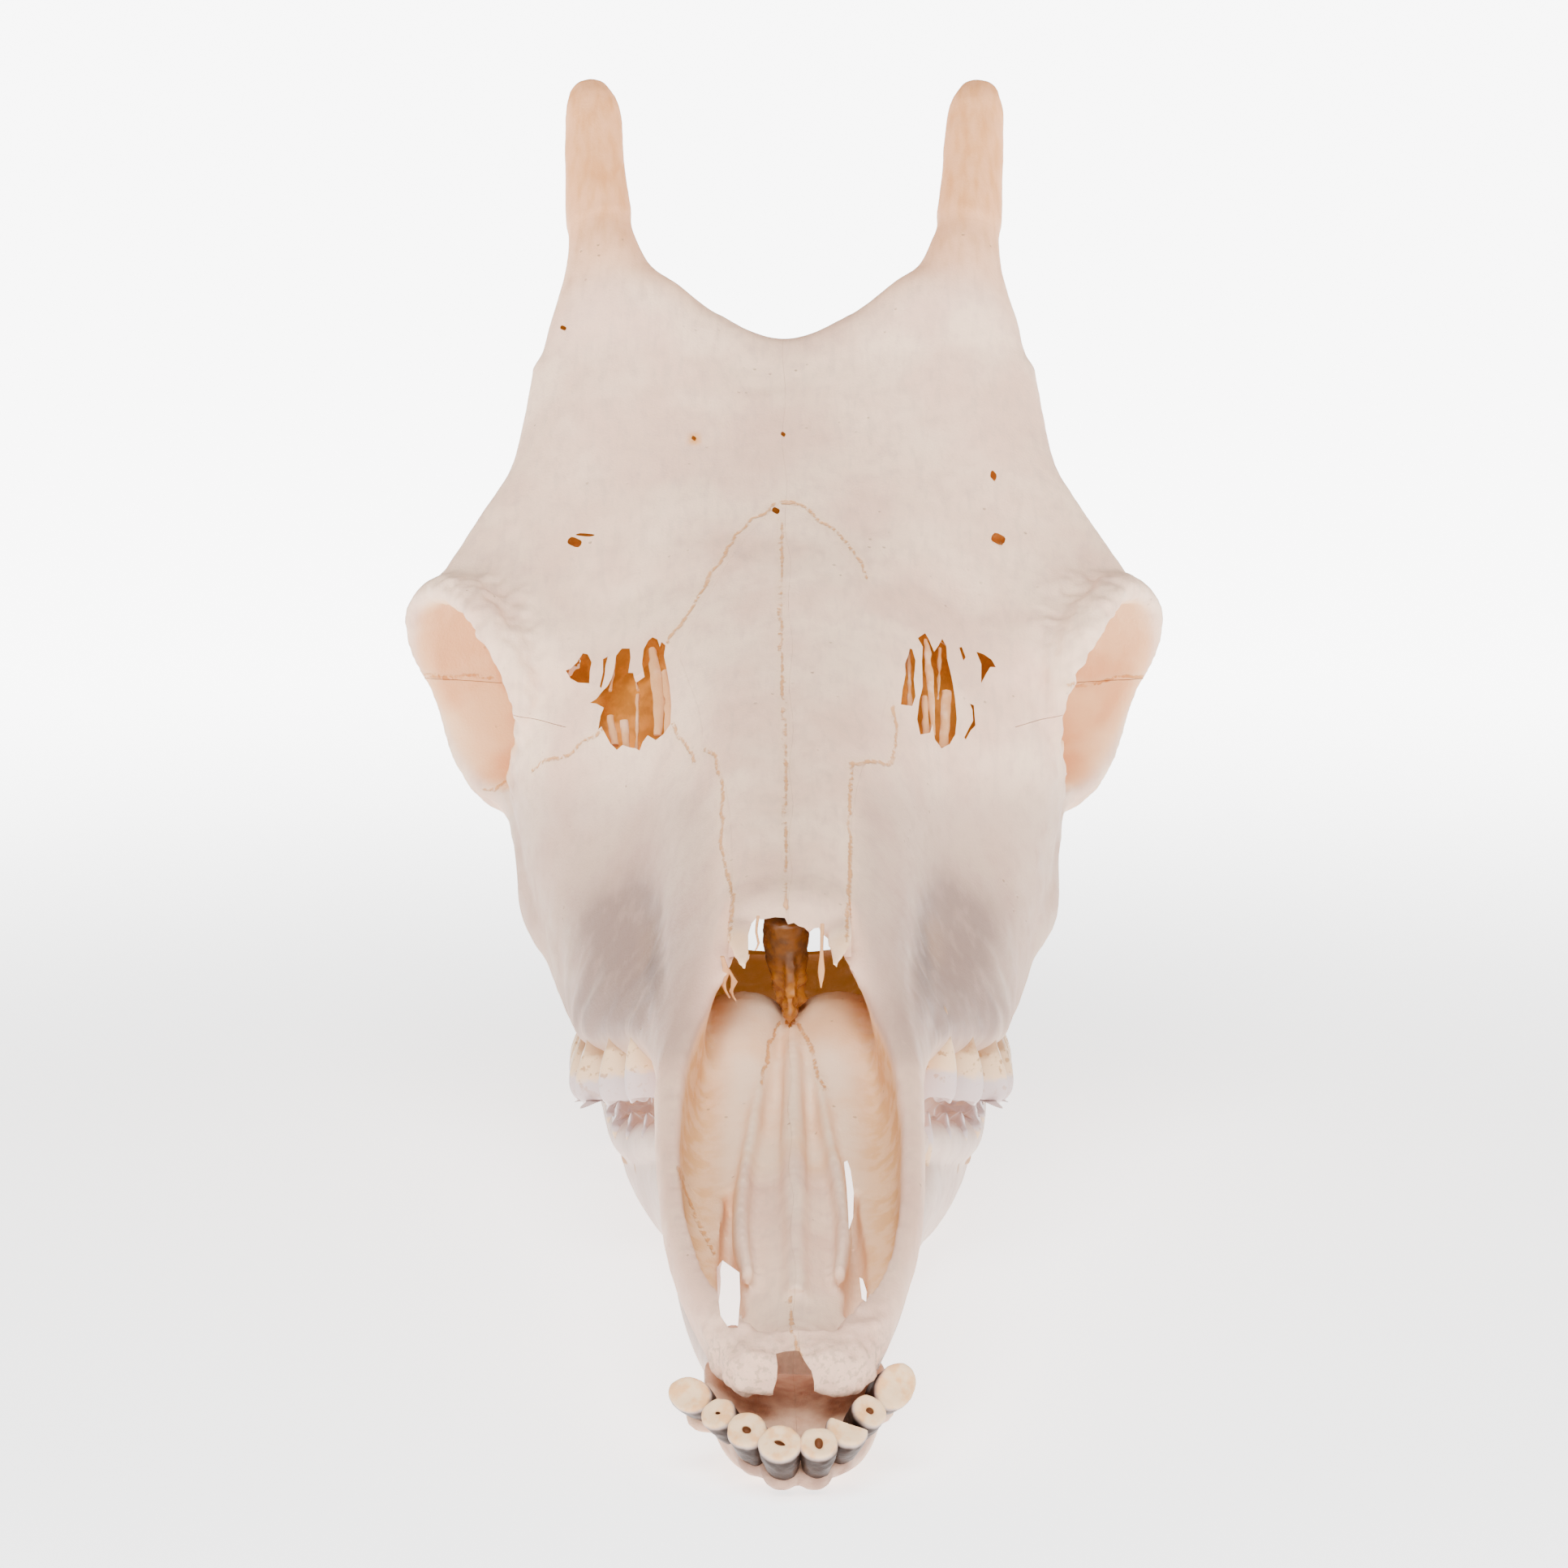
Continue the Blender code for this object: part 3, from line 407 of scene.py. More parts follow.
def corners_of(obj):
    """The corners of a mesh in the frame, in metres."""
    flat = np.empty(len(obj.data.vertices) * 3, np.float32)
    obj.data.vertices.foreach_get("co", flat)
    return flat.reshape(-1, 3).astype(float)


def normals_of(obj):
    """The corner normals of a mesh."""
    flat = np.empty(len(obj.data.vertices) * 3, np.float32)
    obj.data.vertex_normals.foreach_get("vector", flat)
    return flat.reshape(-1, 3).astype(float)


def move_corners(obj, corners):
    """Puts the corners of a mesh at these places of the frame."""
    obj.data.vertices.foreach_set("co", corners.astype(np.float32).ravel())
    obj.data.update()


def copy_of(obj, name):
    """A copy of an object with its own mesh."""
    twin = obj.copy()
    twin.data = obj.data.copy()
    twin.name = name
    bpy.context.scene.collection.objects.link(twin)
    return twin


def drop(objs):
    """Removes helper objects."""
    for obj in objs:
        bpy.data.objects.remove(obj, do_unlink=True)


def nearest(parts, place):
    """The part whose surface comes nearest to a place in skull millimetres."""
    place = placed(place)[0]
    return min(parts, key=lambda obj: np.linalg.norm(corners_of(obj) - place, axis=1).min())


def sheet(line, start, end, plane, gap=SEAM, step=6.0):
    """A thin closed sheet that follows a line of one plane and runs straight across it."""
    line = np.array(line, float)
    fine = []
    for a, b in zip(line, line[1:]):
        count = max(1, round(np.linalg.norm(b - a) / step))
        fine += [a + (b - a) * k / count for k in range(count)]
    fine = np.array(fine + [line[-1]])
    rows = []
    for i, place in enumerate(fine):
        along = fine[min(i + 1, len(fine) - 1)] - fine[max(i - 1, 0)]
        square = np.array([-along[1], along[0]]) / np.linalg.norm(along) * gap / 2
        corners = [(place + square, start), (place + square, end),
                   (place - square, end), (place - square, start)]
        order = {"yz": lambda p, c: (c, p[0], p[1]), "xz": lambda p, c: (p[0], c, p[1]),
                 "xy": lambda p, c: (p[0], p[1], c)}[plane]
        rows.append(np.array([order(p, c) for p, c in corners]))
    return body_of_rings(rows, "seam")


def socket_rim():
    """The raised ring round the left eye socket, wider towards the back and tucked in below the eye."""
    across = np.cross((0, 0, 1), ORBIT_FACING)
    across /= np.linalg.norm(across)
    upward = np.cross(ORBIT_FACING, across)
    path, sizes = [], []
    for a in np.linspace(0, 2 * math.pi, 16, endpoint=False):
        rear = max(0.0, math.cos(a))
        outward = (across * math.cos(a) + upward * math.sin(a)) * (ORBIT_RADIUS + RIM)
        place = ORBIT_CENTRE + outward - ORBIT_FACING * 4
        place[0] -= ORBIT_TUCK * rear * max(0.0, 1 - abs(place[2] - ORBIT_TUCK_Z) / 32)
        path.append(place)
        sizes.append((6 + 7 * rear, RIM - 0.8 * rear))
    return limb(path, sizes, flat_to=ORBIT_FACING, closed=True)


def skull_bodies():
    """The overlapping bodies that make up the skull above the jaw."""
    face = hull(
        4, 370,
        {4: 36, 12: 42, 30: 50, 60: 62, 90: 73, 120: 84, 150: 98, 164: 108, 176: 127.5, 200: 137, 250: 158,
         300: 184, 350: 213, 370: 222},
        [{4: (9, 37), 12: (13, 42.5), 30: (21, 50.5), 60: (28, 62), 90: (31, 73), 120: (31, 84.5),
          150: (28, 98), 164: (20, 106), 176: (17, 124), 200: (18, 133), 250: (20, 155), 300: (24, 180),
          340: (28, 202), 370: (34, 216)},
         {4: (14.5, 36), 12: (19, 42), 30: (27, 49.5), 60: (34, 61), 90: (36.5, 72), 120: (37.5, 83),
          150: (36, 96), 164: (31, 105), 176: (29, 112), 200: (31, 119), 250: (34, 137), 300: (39, 162),
          320: (44, 176), 340: (52, 186), 370: (68, 196)},
         {4: (17, 34), 12: (21, 38), 30: (28.5, 45), 60: (35.5, 56), 90: (38, 66), 120: (39, 77),
          150: (39, 88), 164: (38.5, 95), 200: (40, 105), 250: (44, 113), 300: (53, 134), 320: (65, 148),
          340: (80, 160), 355: (88, 165), 370: (90, 165)},
         {4: (17, 31), 12: (21, 33), 30: (27, 38), 60: (34, 47), 90: (36, 56), 120: (37, 66),
          150: (38.5, 76), 166: (40, 84), 200: (44.5, 95), 225: (52, 92), 250: (60, 92), 300: (71, 101),
          320: (78, 106), 340: (84, 114), 370: (89, 124)},
         {4: (15, 28), 12: (19, 28), 30: (24, 31), 60: (28, 40), 90: (30, 48), 120: (31, 56),
          150: (34, 66), 166: (37, 75), 200: (46, 85), 225: (54, 80), 250: (63, 75), 300: (69, 70),
          340: (72, 70), 370: (70, 84)},
         {4: (10, 27), 12: (12, 26), 30: (15, 28), 60: (17, 37), 90: (18, 45), 120: (19, 52),
          150: (21, 60), 200: (28, 70), 250: (40, 68), 300: (48, 66), 340: (52, 67), 370: (54, 82)}],
        {4: 28, 30: 28, 60: 38, 90: 46, 120: 52, 150: 59, 200: 69, 250: 71, 300: 73, 350: 76, 370: 78})
    core = hull(
        345, 588,
        {345: 200, 400: 240, 450: 268, 480: 260, 520: 235, 560: 207, 580: 200, 588: 192},
        [{345: (25, 196), 400: (34, 236), 450: (36, 264), 480: (34, 254), 520: (34, 229), 560: (34, 204),
          580: (38, 195), 588: (30, 184)},
         {345: (36, 180), 400: (47, 212), 450: (54, 235), 480: (52, 222), 520: (51, 208), 560: (53, 188),
          580: (57, 175), 588: (44, 165)},
         {345: (38, 155), 400: (44, 170), 450: (50, 190), 480: (50, 180), 520: (52, 170), 560: (57, 158),
          580: (58, 150), 588: (42, 145)},
         {345: (28, 136), 400: (34, 142), 450: (44, 150), 480: (46, 145), 520: (46, 136), 560: (46, 130),
          580: (42, 126), 588: (30, 128)},
         {345: (16, 128), 400: (20, 127), 450: (24, 120), 480: (24, 116), 520: (24, 112), 560: (22, 110),
          580: (20, 114), 588: (16, 120)}],
        {345: 126, 400: 126, 450: 118, 520: 110, 580: 113, 588: 118})
    brow = hull(
        325, 492,
        {325: 193, 350: 211, 370: 223, 390: 236, 410: 249, 430: 263, 450: 276, 460: 274, 475: 264, 492: 250},
        [{325: (22, 189), 350: (28, 208), 370: (30, 220), 390: (30, 236), 410: (28, 252), 430: (24, 268),
          450: (20, 283), 460: (20, 281), 475: (24, 268), 492: (28, 247)},
         {325: (38, 177), 350: (54, 190), 370: (64, 209), 390: (70, 226), 410: (68, 248), 430: (60, 273),
          450: (47, 300), 460: (48, 298), 475: (50, 280), 492: (44, 238)},
         {325: (50, 164), 350: (82, 184), 370: (104, 198), 390: (113, 203), 402: (107, 212), 420: (92, 233),
          440: (86, 259), 450: (83.5, 270), 460: (77, 268), 475: (62, 248), 492: (50, 222)},
         {325: (44, 152), 350: (72, 164), 370: (88, 182), 390: (94, 192), 410: (90, 192), 430: (78, 202),
          450: (64, 208), 470: (50, 206), 492: (38, 200)}],
        {325: 155, 350: 165, 370: 180, 390: 190, 410: 195, 430: 200, 450: 205, 492: 200})
    bodies = [
        socket_rim(),
        limb([(57, 452, 235), (61, 454, 273), (60, 463, 296), (63, 477, 313), (65, 495, 333),
              (66, 509, 348), (68, 518, 357.5)],
             [(12, 14), (20, 20.5), (15, 15.5), (11.5, 11.5), (10.5, 10.5), (10, 10), (6, 6.5)],
             flat_to=(0, 1, 0)),
        limb([(66, 318, 90), (77.5, 345, 98), (83, 370, 119), (89, 392, 128), (99, 425, 133),
              (98, 455, 138), (86, 478, 145), (58, 495, 151)],
             [(9, 7), (12, 9), (9.5, 7), (8, 5), (7, 4), (7.5, 4), (9, 5), (14, 10)]),
        limb([(103, 399, 197), (101, 409, 180), (98, 412, 160), (93, 408, 140), (88, 399, 127)],
             [(15, 5.5), (19, 5.2), (20, 5), (17, 5), (10, 5)], flat_to=(1, 0.25, 0)),
        limb([(80, 415, 215), (98, 405, 205), (112, 398, 196)], [(10, 14), (8, 10), (6, 8)]),
        limb([(68, 335, 90), (69, 352, 92), (66, 366, 96)], [(20, 11), (18, 11), (12, 8)]),
        limb([(25, 338, 104), (25, 365, 103), (24, 392, 104), (22, 416, 110), (20, 436, 116)],
             [(24, 3.4), (26, 3.0), (24, 2.8), (15, 2.6), (6, 3)]),
        limb([(23, 400, 90), (23, 414, 78), (24, 420, 74)], [(6, 2.6), (4, 2.2), (2.6, 2)]),
        ball((64, 482, 149), (26, 17, 8)),
        ball((33, 516, 106), (11, 17, 14)),
        limb([(44, 518, 140), (62, 522, 146)], [(11, 12), (8, 8)]),
        limb([(56, 560, 168), (58, 556, 145), (54, 556, 126)], [(10, 10), (10, 12), (9, 9)],
             flat_to=(1, 0, 0)),
        limb([(46, 560, 136), (48, 564, 110), (46, 568, 92), (43, 569, 82)],
             [(6, 11), (5, 9), (4, 7), (3, 4)], flat_to=(1, 0, 0)),
        ball((23, 586, 137), (14, 15, 19)),
        limb([(50, 470, 240), (38, 515, 232), (38, 550, 212), (50, 575, 195)],
             [(4, 5), (3.5, 4), (3.5, 4), (5, 6)]),
        limb([(11.5, 9, 33), (13, 12, 28), (14.5, 17, 26.5)], [(4.5, 6.5), (4.2, 6.2), (2, 3.5)]),
    ]
    bodies += [mirrored(rings) for rings in bodies]
    crest = limb([(-62, 566, 158), (-58, 574, 182), (-34, 583, 197), (0, 586, 202),
                  (34, 583, 197), (58, 574, 182), (62, 566, 158)],
                 [(4, 7), (4.5, 7), (5, 7), (5, 7), (5, 7), (4.5, 7), (4, 7)], flat_to=(0, 1, 0))
    return [face, core, brow, crest] + bodies


def hollow_bodies():
    """The openings of the skull: nose, airway, spinal hole, palate slits and eye sockets."""
    nose = hull(
        14, 168,
        {14: 70, 60: 90, 120: 112, 150: 130, 176: 160},
        [{14: (13, 64), 30: (22, 76), 60: (29, 88), 90: (31.5, 98), 120: (31, 112), 150: (27, 130),
          176: (18, 160)},
         {14: (11, 44), 30: (21, 50), 60: (29, 62), 90: (31.5, 73), 120: (31.5, 84), 150: (28, 98),
          176: (17, 120)},
         {14: (7, 40), 30: (19, 38), 60: (25, 48), 90: (27, 57), 120: (27, 65), 150: (26, 73),
          176: (25, 80)}],
        {14: 42, 30: 43, 60: 53, 100: 62, 150: 70, 176: 74})
    tunnel = hull(
        160, 392,
        {160: 119, 177: 123.8, 200: 132, 250: 149, 300: 168, 325: 164, 350: 140, 364: 125, 392: 123},
        [{160: (15, 115), 177: (14, 120), 200: (14, 127), 250: (17, 142), 300: (18, 158), 325: (19, 154),
          350: (20, 134), 364: (20, 122), 392: (20, 119)},
         {160: (25, 92), 200: (26, 96), 250: (27, 104), 300: (28, 112), 350: (23, 106), 392: (21, 100)},
         {160: (18, 72), 200: (19, 77), 250: (20, 80), 300: (21, 83), 350: (20, 87), 364: (21, 80),
          392: (21, 66)}],
        {160: 69, 200: 74, 250: 78, 300: 81, 350: 84, 364: 76, 392: 62})
    paired = [
        limb([(17, 36, 41), (18, 60, 52), (17, 100, 61), (15, 148, 70)],
             [(8, 3.6), (10, 3.4), (10, 2.4), (9, 1.8)]),
        ball(ORBIT_CENTRE - ORBIT_FACING * SOCKET_BACK, (ORBIT_RADIUS, ORBIT_RADIUS, SOCKET_DEPTH),
             ORBIT_FACING),
    ]
    spinal = limb([(0, 610, 142), (0, 585, 146), (0, 556, 150)], [(17, 18), (16, 17), (11, 12)])
    return [nose, tunnel, spinal] + paired + [mirrored(rings) for rings in paired]


def nose_bodies():
    """What stands inside the nose: smooth floor plates, the ridge and its two blades, and the prongs."""
    paired = [
        limb([(17.5, 105, 58), (17, 135, 64), (16, 165, 74), (15, 188, 86), (14.5, 203, 93), (14.5, 218, 86)],
             [(3, 9), (5, 10.5), (6.5, 11.5), (8, 12), (7, 12), (4, 10)]),
        limb([(6.0, 196, 87), (8.2, 170, 79), (11.2, 135, 67), (13.8, 95, 59), (14.4, 65, 54),
              (12.6, 44, 50)],
             [(3, 1.6), (4, 1.9), (6, 2.5), (7, 2.6), (6.5, 2.4), (3, 1.8)]),
        limb([(14.6, 184, 126), (14.8, 170, 122.5), (14.2, 163, 119), (13.4, 157, 116)],
             [(2, 4.6), (1.9, 4.2), (1.6, 2.7), (1.0, 1.0)]),
    ]
    ridge = limb([(0.6, 40, 45), (1, 80, 57), (1, 120, 66), (1, 160, 77), (0.6, 192, 88), (0.3, 206, 90)],
                 [(4, 3.4), (5, 3.8), (6, 3.8), (6, 3.4), (5, 2.6), (4, 2.2)])
    under = limb([(0.6, 100, 55), (0.6, 150, 68), (0.6, 190, 80)], [(4, 8), (4, 9), (4, 7)])
    return paired + [mirrored(rings) for rings in paired] + [ridge, under]


def jaw_bodies():
    """The overlapping bodies of the lower jaw."""
    chin = hull(
        4, 112,
        {4: 11, 12: 15, 30: 19, 60: 20, 90: 17, 112: 15},
        [{4: (9, 11), 12: (13, 17), 30: (12, 22), 60: (9, 22), 90: (9, 19), 112: (10, 17)},
         {4: (13.5, 12), 12: (21, 20), 30: (24, 27), 60: (19, 26), 90: (17, 22), 112: (17, 20)},
         {4: (13.5, 8), 12: (21, 14), 30: (24, 20), 60: (21, 19), 90: (20, 16), 112: (20, 15)},
         {4: (9, 4), 12: (15, 4), 30: (18, 5), 60: (16, 4), 90: (14, 3), 112: (14, 4)}],
        {4: 3, 12: 0, 30: 0, 60: 0, 90: 1, 112: 3})
    bodies = [
        limb([(17, 88, 10), (22, 120, 11), (28, 155, 14.5), (30, 190, 22), (33, 220, 28),
              (40, 260, 27), (44, 300, 24.5), (47, 340, 23.5), (51, 364, 26), (54, 382, 32),
              (57, 405, 38), (59, 428, 42)],
             [(9, 6), (9.5, 6), (11.5, 5), (15, 6.2), (19, 9.5), (20, 10), (20, 10.5), (19.5, 10.5),
              (21, 9), (28, 7), (35, 5), (40, 4)], flat_to=(0.36, 0, 1)),
        limb([(57, 436, 14), (61, 424, 45), (67, 432, 80), (73, 445, 108), (77, 460, 126)],
             [(26, 5), (36, 5), (28, 4.5), (20, 4.5), (9, 5)], flat_to=(0, 1, 0)),
        ball((59, 444, 27), (5.5, 25, 25)),
        limb([(63, 469, 134), (74, 470, 136), (87, 469, 134)], [(6, 6), (6.5, 7), (6, 6)]),
        limb([(71, 430, 100), (74, 434, 135), (76, 444, 165), (77, 455, 186)],
             [(13, 3.6), (10, 3.2), (7.5, 3), (3.5, 2.8)], flat_to=(0, 1, 0)),
    ]
    bite = follow(LOWER_TEETH["bite"])
    row = [(x, y, bite(y)[0, 0] - BITE_TO_BONE) for y, x in LOWER_TEETH["middle"].items()]
    bodies.append(limb(row, [(5.5, 5)] + [(7.5, 7.5)] * (len(row) - 1)))
    bodies += [mirrored(rings) for rings in bodies]
    for side, teeth in FRONT_TEETH.items():
        for tip, heading, width, *_ in teeth:
            heading = np.array(heading) * (side, 1, 1) / np.linalg.norm(heading)
            tip = np.array(tip) * (side, 1, 1)
            sizes = [(width * 0.38, width * 0.40), (width * 0.48, width * 0.50), (4.8, 5.2), (2.5, 3)]
            bodies.append(limb([tip - heading * back for back in ROOT_SWELL], sizes))
    return [chin] + bodies


def solid_of(bodies, name, voxel, rounds):
    """One closed surface round these bodies, as an object."""
    return fused(joined([body_of_rings(rings, "body") for rings in bodies], name), voxel, rounds)


def depth_of(place):
    """How far a place of the frame is from the camera along its axis."""
    return (place - EYE) @ AHEAD


def hit(pixel, body):
    """Where the sight line through a pixel of the photograph first meets a body, in the frame."""
    found, place, _, _ = body.ray_cast(Vector(EYE), Vector(sight(pixel)))
    return np.array(place) if found else None


def window(outline, body, reach, clear=4.0):
    """A straight cutter along the sight lines through an outline of the photograph, from in front of
    a body to this many millimetres behind its surface."""
    depths = [depth_of(place) for place in (hit(pixel, body) for pixel in outline) if place is not None]
    rings = []
    for depth in (min(depths) - clear * MM, max(depths) + reach * MM):
        lines = [sight(pixel) for pixel in outline]
        rings.append(np.array([EYE + line / (line @ AHEAD) * depth for line in lines]))
    return body_of_rings(rings, "window", in_frame=True, flat_ends=True)


def pocket(outline, body, skin, depth):
    """A rounded cutter under the surface, with this much skin left over it."""
    middle = np.mean(outline, axis=0)
    rings = []
    for share, level in ((0.86, 0), (1.0, 0.3), (0.92, 0.7), (0.5, 1)):
        pixels = [middle + (np.array(pixel) - middle) * share for pixel in outline]
        rings.append(np.array([hit(pixel, body) + sight(pixel) * (skin + depth * level) * MM
                               for pixel in pixels]))
    return body_of_rings(rings, "pocket", in_frame=True)


# Outlines in the photograph's pixels: the ragged lacrimal openings of each side.
POCKETS = (
    ((694, 832), (704, 800), (735, 788), (770, 782), (806, 774), (829, 790), (833, 840), (833, 890),
     (815, 918), (782, 931), (745, 922), (722, 885), (700, 856)),
    ((1100, 840), (1108, 796), (1135, 774), (1165, 776), (1195, 790), (1228, 806), (1232, 824), (1216, 850),
     (1206, 905), (1185, 922), (1160, 928), (1130, 912), (1104, 884)),
)
OPENINGS = (
    ((697, 826), (703, 824), (711, 816), (718, 805), (724, 806), (729, 816), (727, 826), (726, 842),
     (712, 841), (703, 836)),
    ((743, 812), (749, 809), (746, 820), (745, 832), (741, 848), (739, 846), (743, 828)),
    ((727, 866), (735, 861), (742, 852), (749, 845), (754, 835), (757, 824), (759, 808), (766, 799),
     (776, 799), (777, 811), (774, 829), (780, 829), (783, 840), (792, 844), (795, 838), (791, 818),
     (793, 800), (799, 789), (804, 785), (810, 788), (813, 797), (815, 791), (820, 795), (818, 808),
     (821, 822), (825, 845), (827, 868), (826, 892), (818, 904), (808, 912), (798, 906), (792, 914),
     (788, 925), (783, 922), (776, 921), (767, 918), (760, 924), (752, 916), (744, 901), (741, 895),
     (737, 899), (740, 882), (744, 872), (735, 867)),
    ((1110, 868), (1112, 850), (1116, 830), (1115, 818), (1119, 808), (1121, 799), (1124, 800),
     (1128, 814), (1126, 838), (1128, 858), (1124, 870)),
    ((1131, 786), (1140, 780), (1145, 789), (1151, 803), (1156, 796), (1161, 787), (1166, 796), (1167, 812),
     (1171, 828), (1174, 842), (1177, 862), (1179, 886), (1177, 905), (1170, 917), (1160, 922), (1152, 911),
     (1149, 892), (1146, 903), (1134, 905), (1130, 886), (1133, 862), (1137, 846), (1136, 815), (1137, 797)),
    ((1182, 798), (1185, 797), (1190, 810), (1187, 814)),
    ((1203, 803), (1212, 806), (1222, 813), (1227, 822), (1220, 822), (1214, 832), (1209, 842), (1209, 818)),
    ((1195, 867), (1200, 869), (1201, 884), (1202, 894), (1196, 900), (1190, 911), (1188, 909), (1194, 897),
     (1199, 888), (1198, 874)),
)
FORAMINA = (                   # centre, half width and half height of small holes, and how deep they go
    ((708, 668), (9, 6), 6), ((1230, 664), (9, 7), 6), ((1224, 586), (4, 6), 5), ((694, 404), (4, 3), 4),
    ((956, 629), (5, 4), 5), ((855, 540), (3, 3), 2), ((965, 535), (3, 3), 3), ((721, 659), (12, 2), 3),
)
# The ragged front edge of the nasal bones, and the notch between the premaxillae.
NASAL_EDGE = ((922, 1176), (922, 1152), (926, 1138), (932, 1131), (938, 1133), (945, 1132), (955, 1130),
              (967, 1131), (971, 1139), (978, 1137), (984, 1141), (991, 1143), (997, 1149), (1003, 1144),
              (1009, 1143), (1012, 1150), (1013, 1176))
FRONT_NOTCH = ((950, 1745), (953, 1712), (957, 1700), (958, 1681), (956, 1668), (968, 1665), (980, 1664),
               (985, 1665), (992, 1678), (1000, 1690), (1003, 1702), (1004, 1745))
DAYLIGHT = (                   # the ground shows through the palate here
    ((883, 1562), (890, 1553), (900, 1560), (911, 1568), (912, 1600), (909, 1636), (898, 1636),
     (888, 1622), (884, 1590)),
    ((1040, 1432), (1044, 1430), (1048, 1442), (1052, 1470), (1051, 1500), (1046, 1515), (1045, 1490),
     (1043, 1460)),
    ((1059, 1574), (1063, 1576), (1068, 1592), (1067, 1604), (1062, 1600)),
)
SUTURES = (                    # thin tan lines on the bone
    ((962, 640), (963, 700), (961, 760), (964, 820), (966, 880), (968, 940), (966, 1000), (969, 1060),
     (967, 1125)),
    ((955, 618), (948, 632), (925, 640), (908, 660), (890, 690), (872, 714), (855, 742), (845, 762),
     (832, 778), (824, 790)),
    ((962, 618), (985, 620), (1002, 632), (1028, 655), (1045, 668), (1060, 690), (1068, 712)),
    ((868, 925), (880, 930), (884, 950), (892, 965), (890, 1000), (889, 1040), (896, 1070), (903, 1100),
     (901, 1130), (898, 1160)),
    ((1048, 940), (1048, 975), (1046, 1010), (1048, 1050), (1046, 1090), (1045, 1130), (1043, 1160)),
    ((655, 948), (680, 935), (700, 930), (718, 914), (732, 908), (742, 898)),
    ((1100, 870), (1106, 898), (1102, 925), (1098, 944), (1072, 940), (1050, 938)),
    ((835, 1440), (846, 1470), (858, 1500), (872, 1528), (880, 1546)),
    ((525, 830), (545, 834), (575, 832), (610, 835)),
    ((1316, 845), (1345, 842), (1378, 834), (1411, 833)),
    ((972, 1600), (974, 1630), (980, 1650), (986, 1668)),
    ((828, 892), (832, 905), (850, 925), (856, 940)),
    ((960, 1262), (948, 1285), (944, 1310), (938, 1335)),
    ((985, 1262), (1000, 1290), (1004, 1312), (1016, 1340)),
    ((596, 975), (608, 972), (622, 962)),
)
RELIEF = (                     # photograph place, spread in pixels and height in mm of hollows and swells
    ((796, 1170), (32, 85), -9.0), ((1152, 1170), (32, 85), -9.0), ((812, 1180), (8, 62), -3.0),
    ((1130, 1175), (8, 62), -3.0), ((740, 1010), (60, 50), -2.0), ((1200, 1010), (60, 50), -2.0),
    ((870, 560), (60, 60), -2.4), ((1060, 560), (60, 60), -2.4), ((966, 560), (30, 90), 1.0),
    ((935, 478), (26, 9), -0.8), ((930, 960), (16, 170), 1.6), ((1000, 960), (16, 170), 1.6),
    ((880, 1050), (11, 130), -1.8), ((1052, 1050), (11, 130), -1.8), ((968, 1000), (4, 150), -0.9),
    ((640, 700), (70, 30), -1.6), ((1290, 700), (70, 30), -1.6), ((700, 780), (90, 26), 1.4),
    ((1235, 780), (90, 26), 1.4), ((560, 690), (30, 14), 1.2), ((1370, 690), (30, 14), 1.2),
)
# creases beside the muzzle, painted darker as shade: their centres, and one spread in pixels
SHADED_CREASES = ((803, 1182), (1140, 1182))
CREASE_SHADE_SPREAD = (9, 52)
PAINTED_SHADE_HOLLOWS = (               # centre and spread of the hollows that get painted shade
    ((798, 1170), (26, 85)), ((1150, 1170), (26, 85)), ((765, 1160), (60, 60)), ((1175, 1160), (60, 60)),
    ((740, 1250), (60, 40)), ((1190, 1250), (60, 40)),
)
CHEEK_TOP, CHEEK_FOOT = (920, 1010), (1330, 1290)      # where the painted shade on the cheeks sets in and ends
CHEEK_RIGHT, CHEEK_LEFT = (900, 850), (1040, 1080)
SPLINTERS = (                  # thin broken bone at the nostrils, in skull mm with half thicknesses
    ([(9.6, 172, 126), (9.4, 166, 119), (9.3, 163, 113.5), (9.2, 161, 109)],
     [(0.5, 0.6), (0.45, 0.5), (0.8, 1.0), (0.25, 0.2)]),
    ([(-9.4, 174, 128), (-9.9, 170, 124), (-9.2, 168, 121), (-10.2, 167, 119)],
     [(0.4, 0.5), (0.35, 0.4), (0.35, 0.4), (0.2, 0.2)]),
    ([(-20.0, 168, 117), (-18.8, 169, 112), (-19.6, 170, 108), (-17.8, 171, 104)],
     [(0.5, 0.9), (0.5, 1.2), (0.4, 0.8), (0.3, 0.3)]),
    ([(-18.2, 169, 113), (-16.4, 170, 109), (-17.4, 171, 106), (-16.0, 172, 103)],
     [(0.4, 0.7), (0.5, 1.0), (0.4, 0.6), (0.3, 0.2)]),
    ([(7.4, 176, 84.5), (11.0, 176, 84.6), (17.5, 174, 82.4)], [(0.5, 0.4), (0.5, 0.6), (0.25, 0.25)]),
)
SHARDS = {                     # thin bone inside the lacrimal openings: pixels, half width in mm, depth in mm
    "right": ((((803, 800), (808, 830), (812, 870), (810, 906)), 1.9, 4.0),
              (((820, 828), (827, 866), (822, 908)), 2.2, 5.5), (((752, 882), (757, 918)), 1.9, 5.0),
              (((769, 888), (773, 928)), 2.2, 6.0), (((786, 856), (784, 926)), 1.0, 8.0),
              (((760, 800), (752, 850)), 0.7, 3.0), (((780, 812), (786, 850)), 0.6, 6.0)),
    "left": ((((1141, 788), (1146, 840), (1150, 906)), 1.3, 3.0), (((1166, 852), (1163, 922)), 2.6, 5.0),
             (((1139, 858), (1142, 908)), 1.9, 5.5), (((1140, 780), (1168, 796)), 0.6, 1.5),
             (((1119, 800), (1121, 872)), 1.2, 6.0), (((1158, 800), (1156, 860)), 0.7, 4.5)),
}
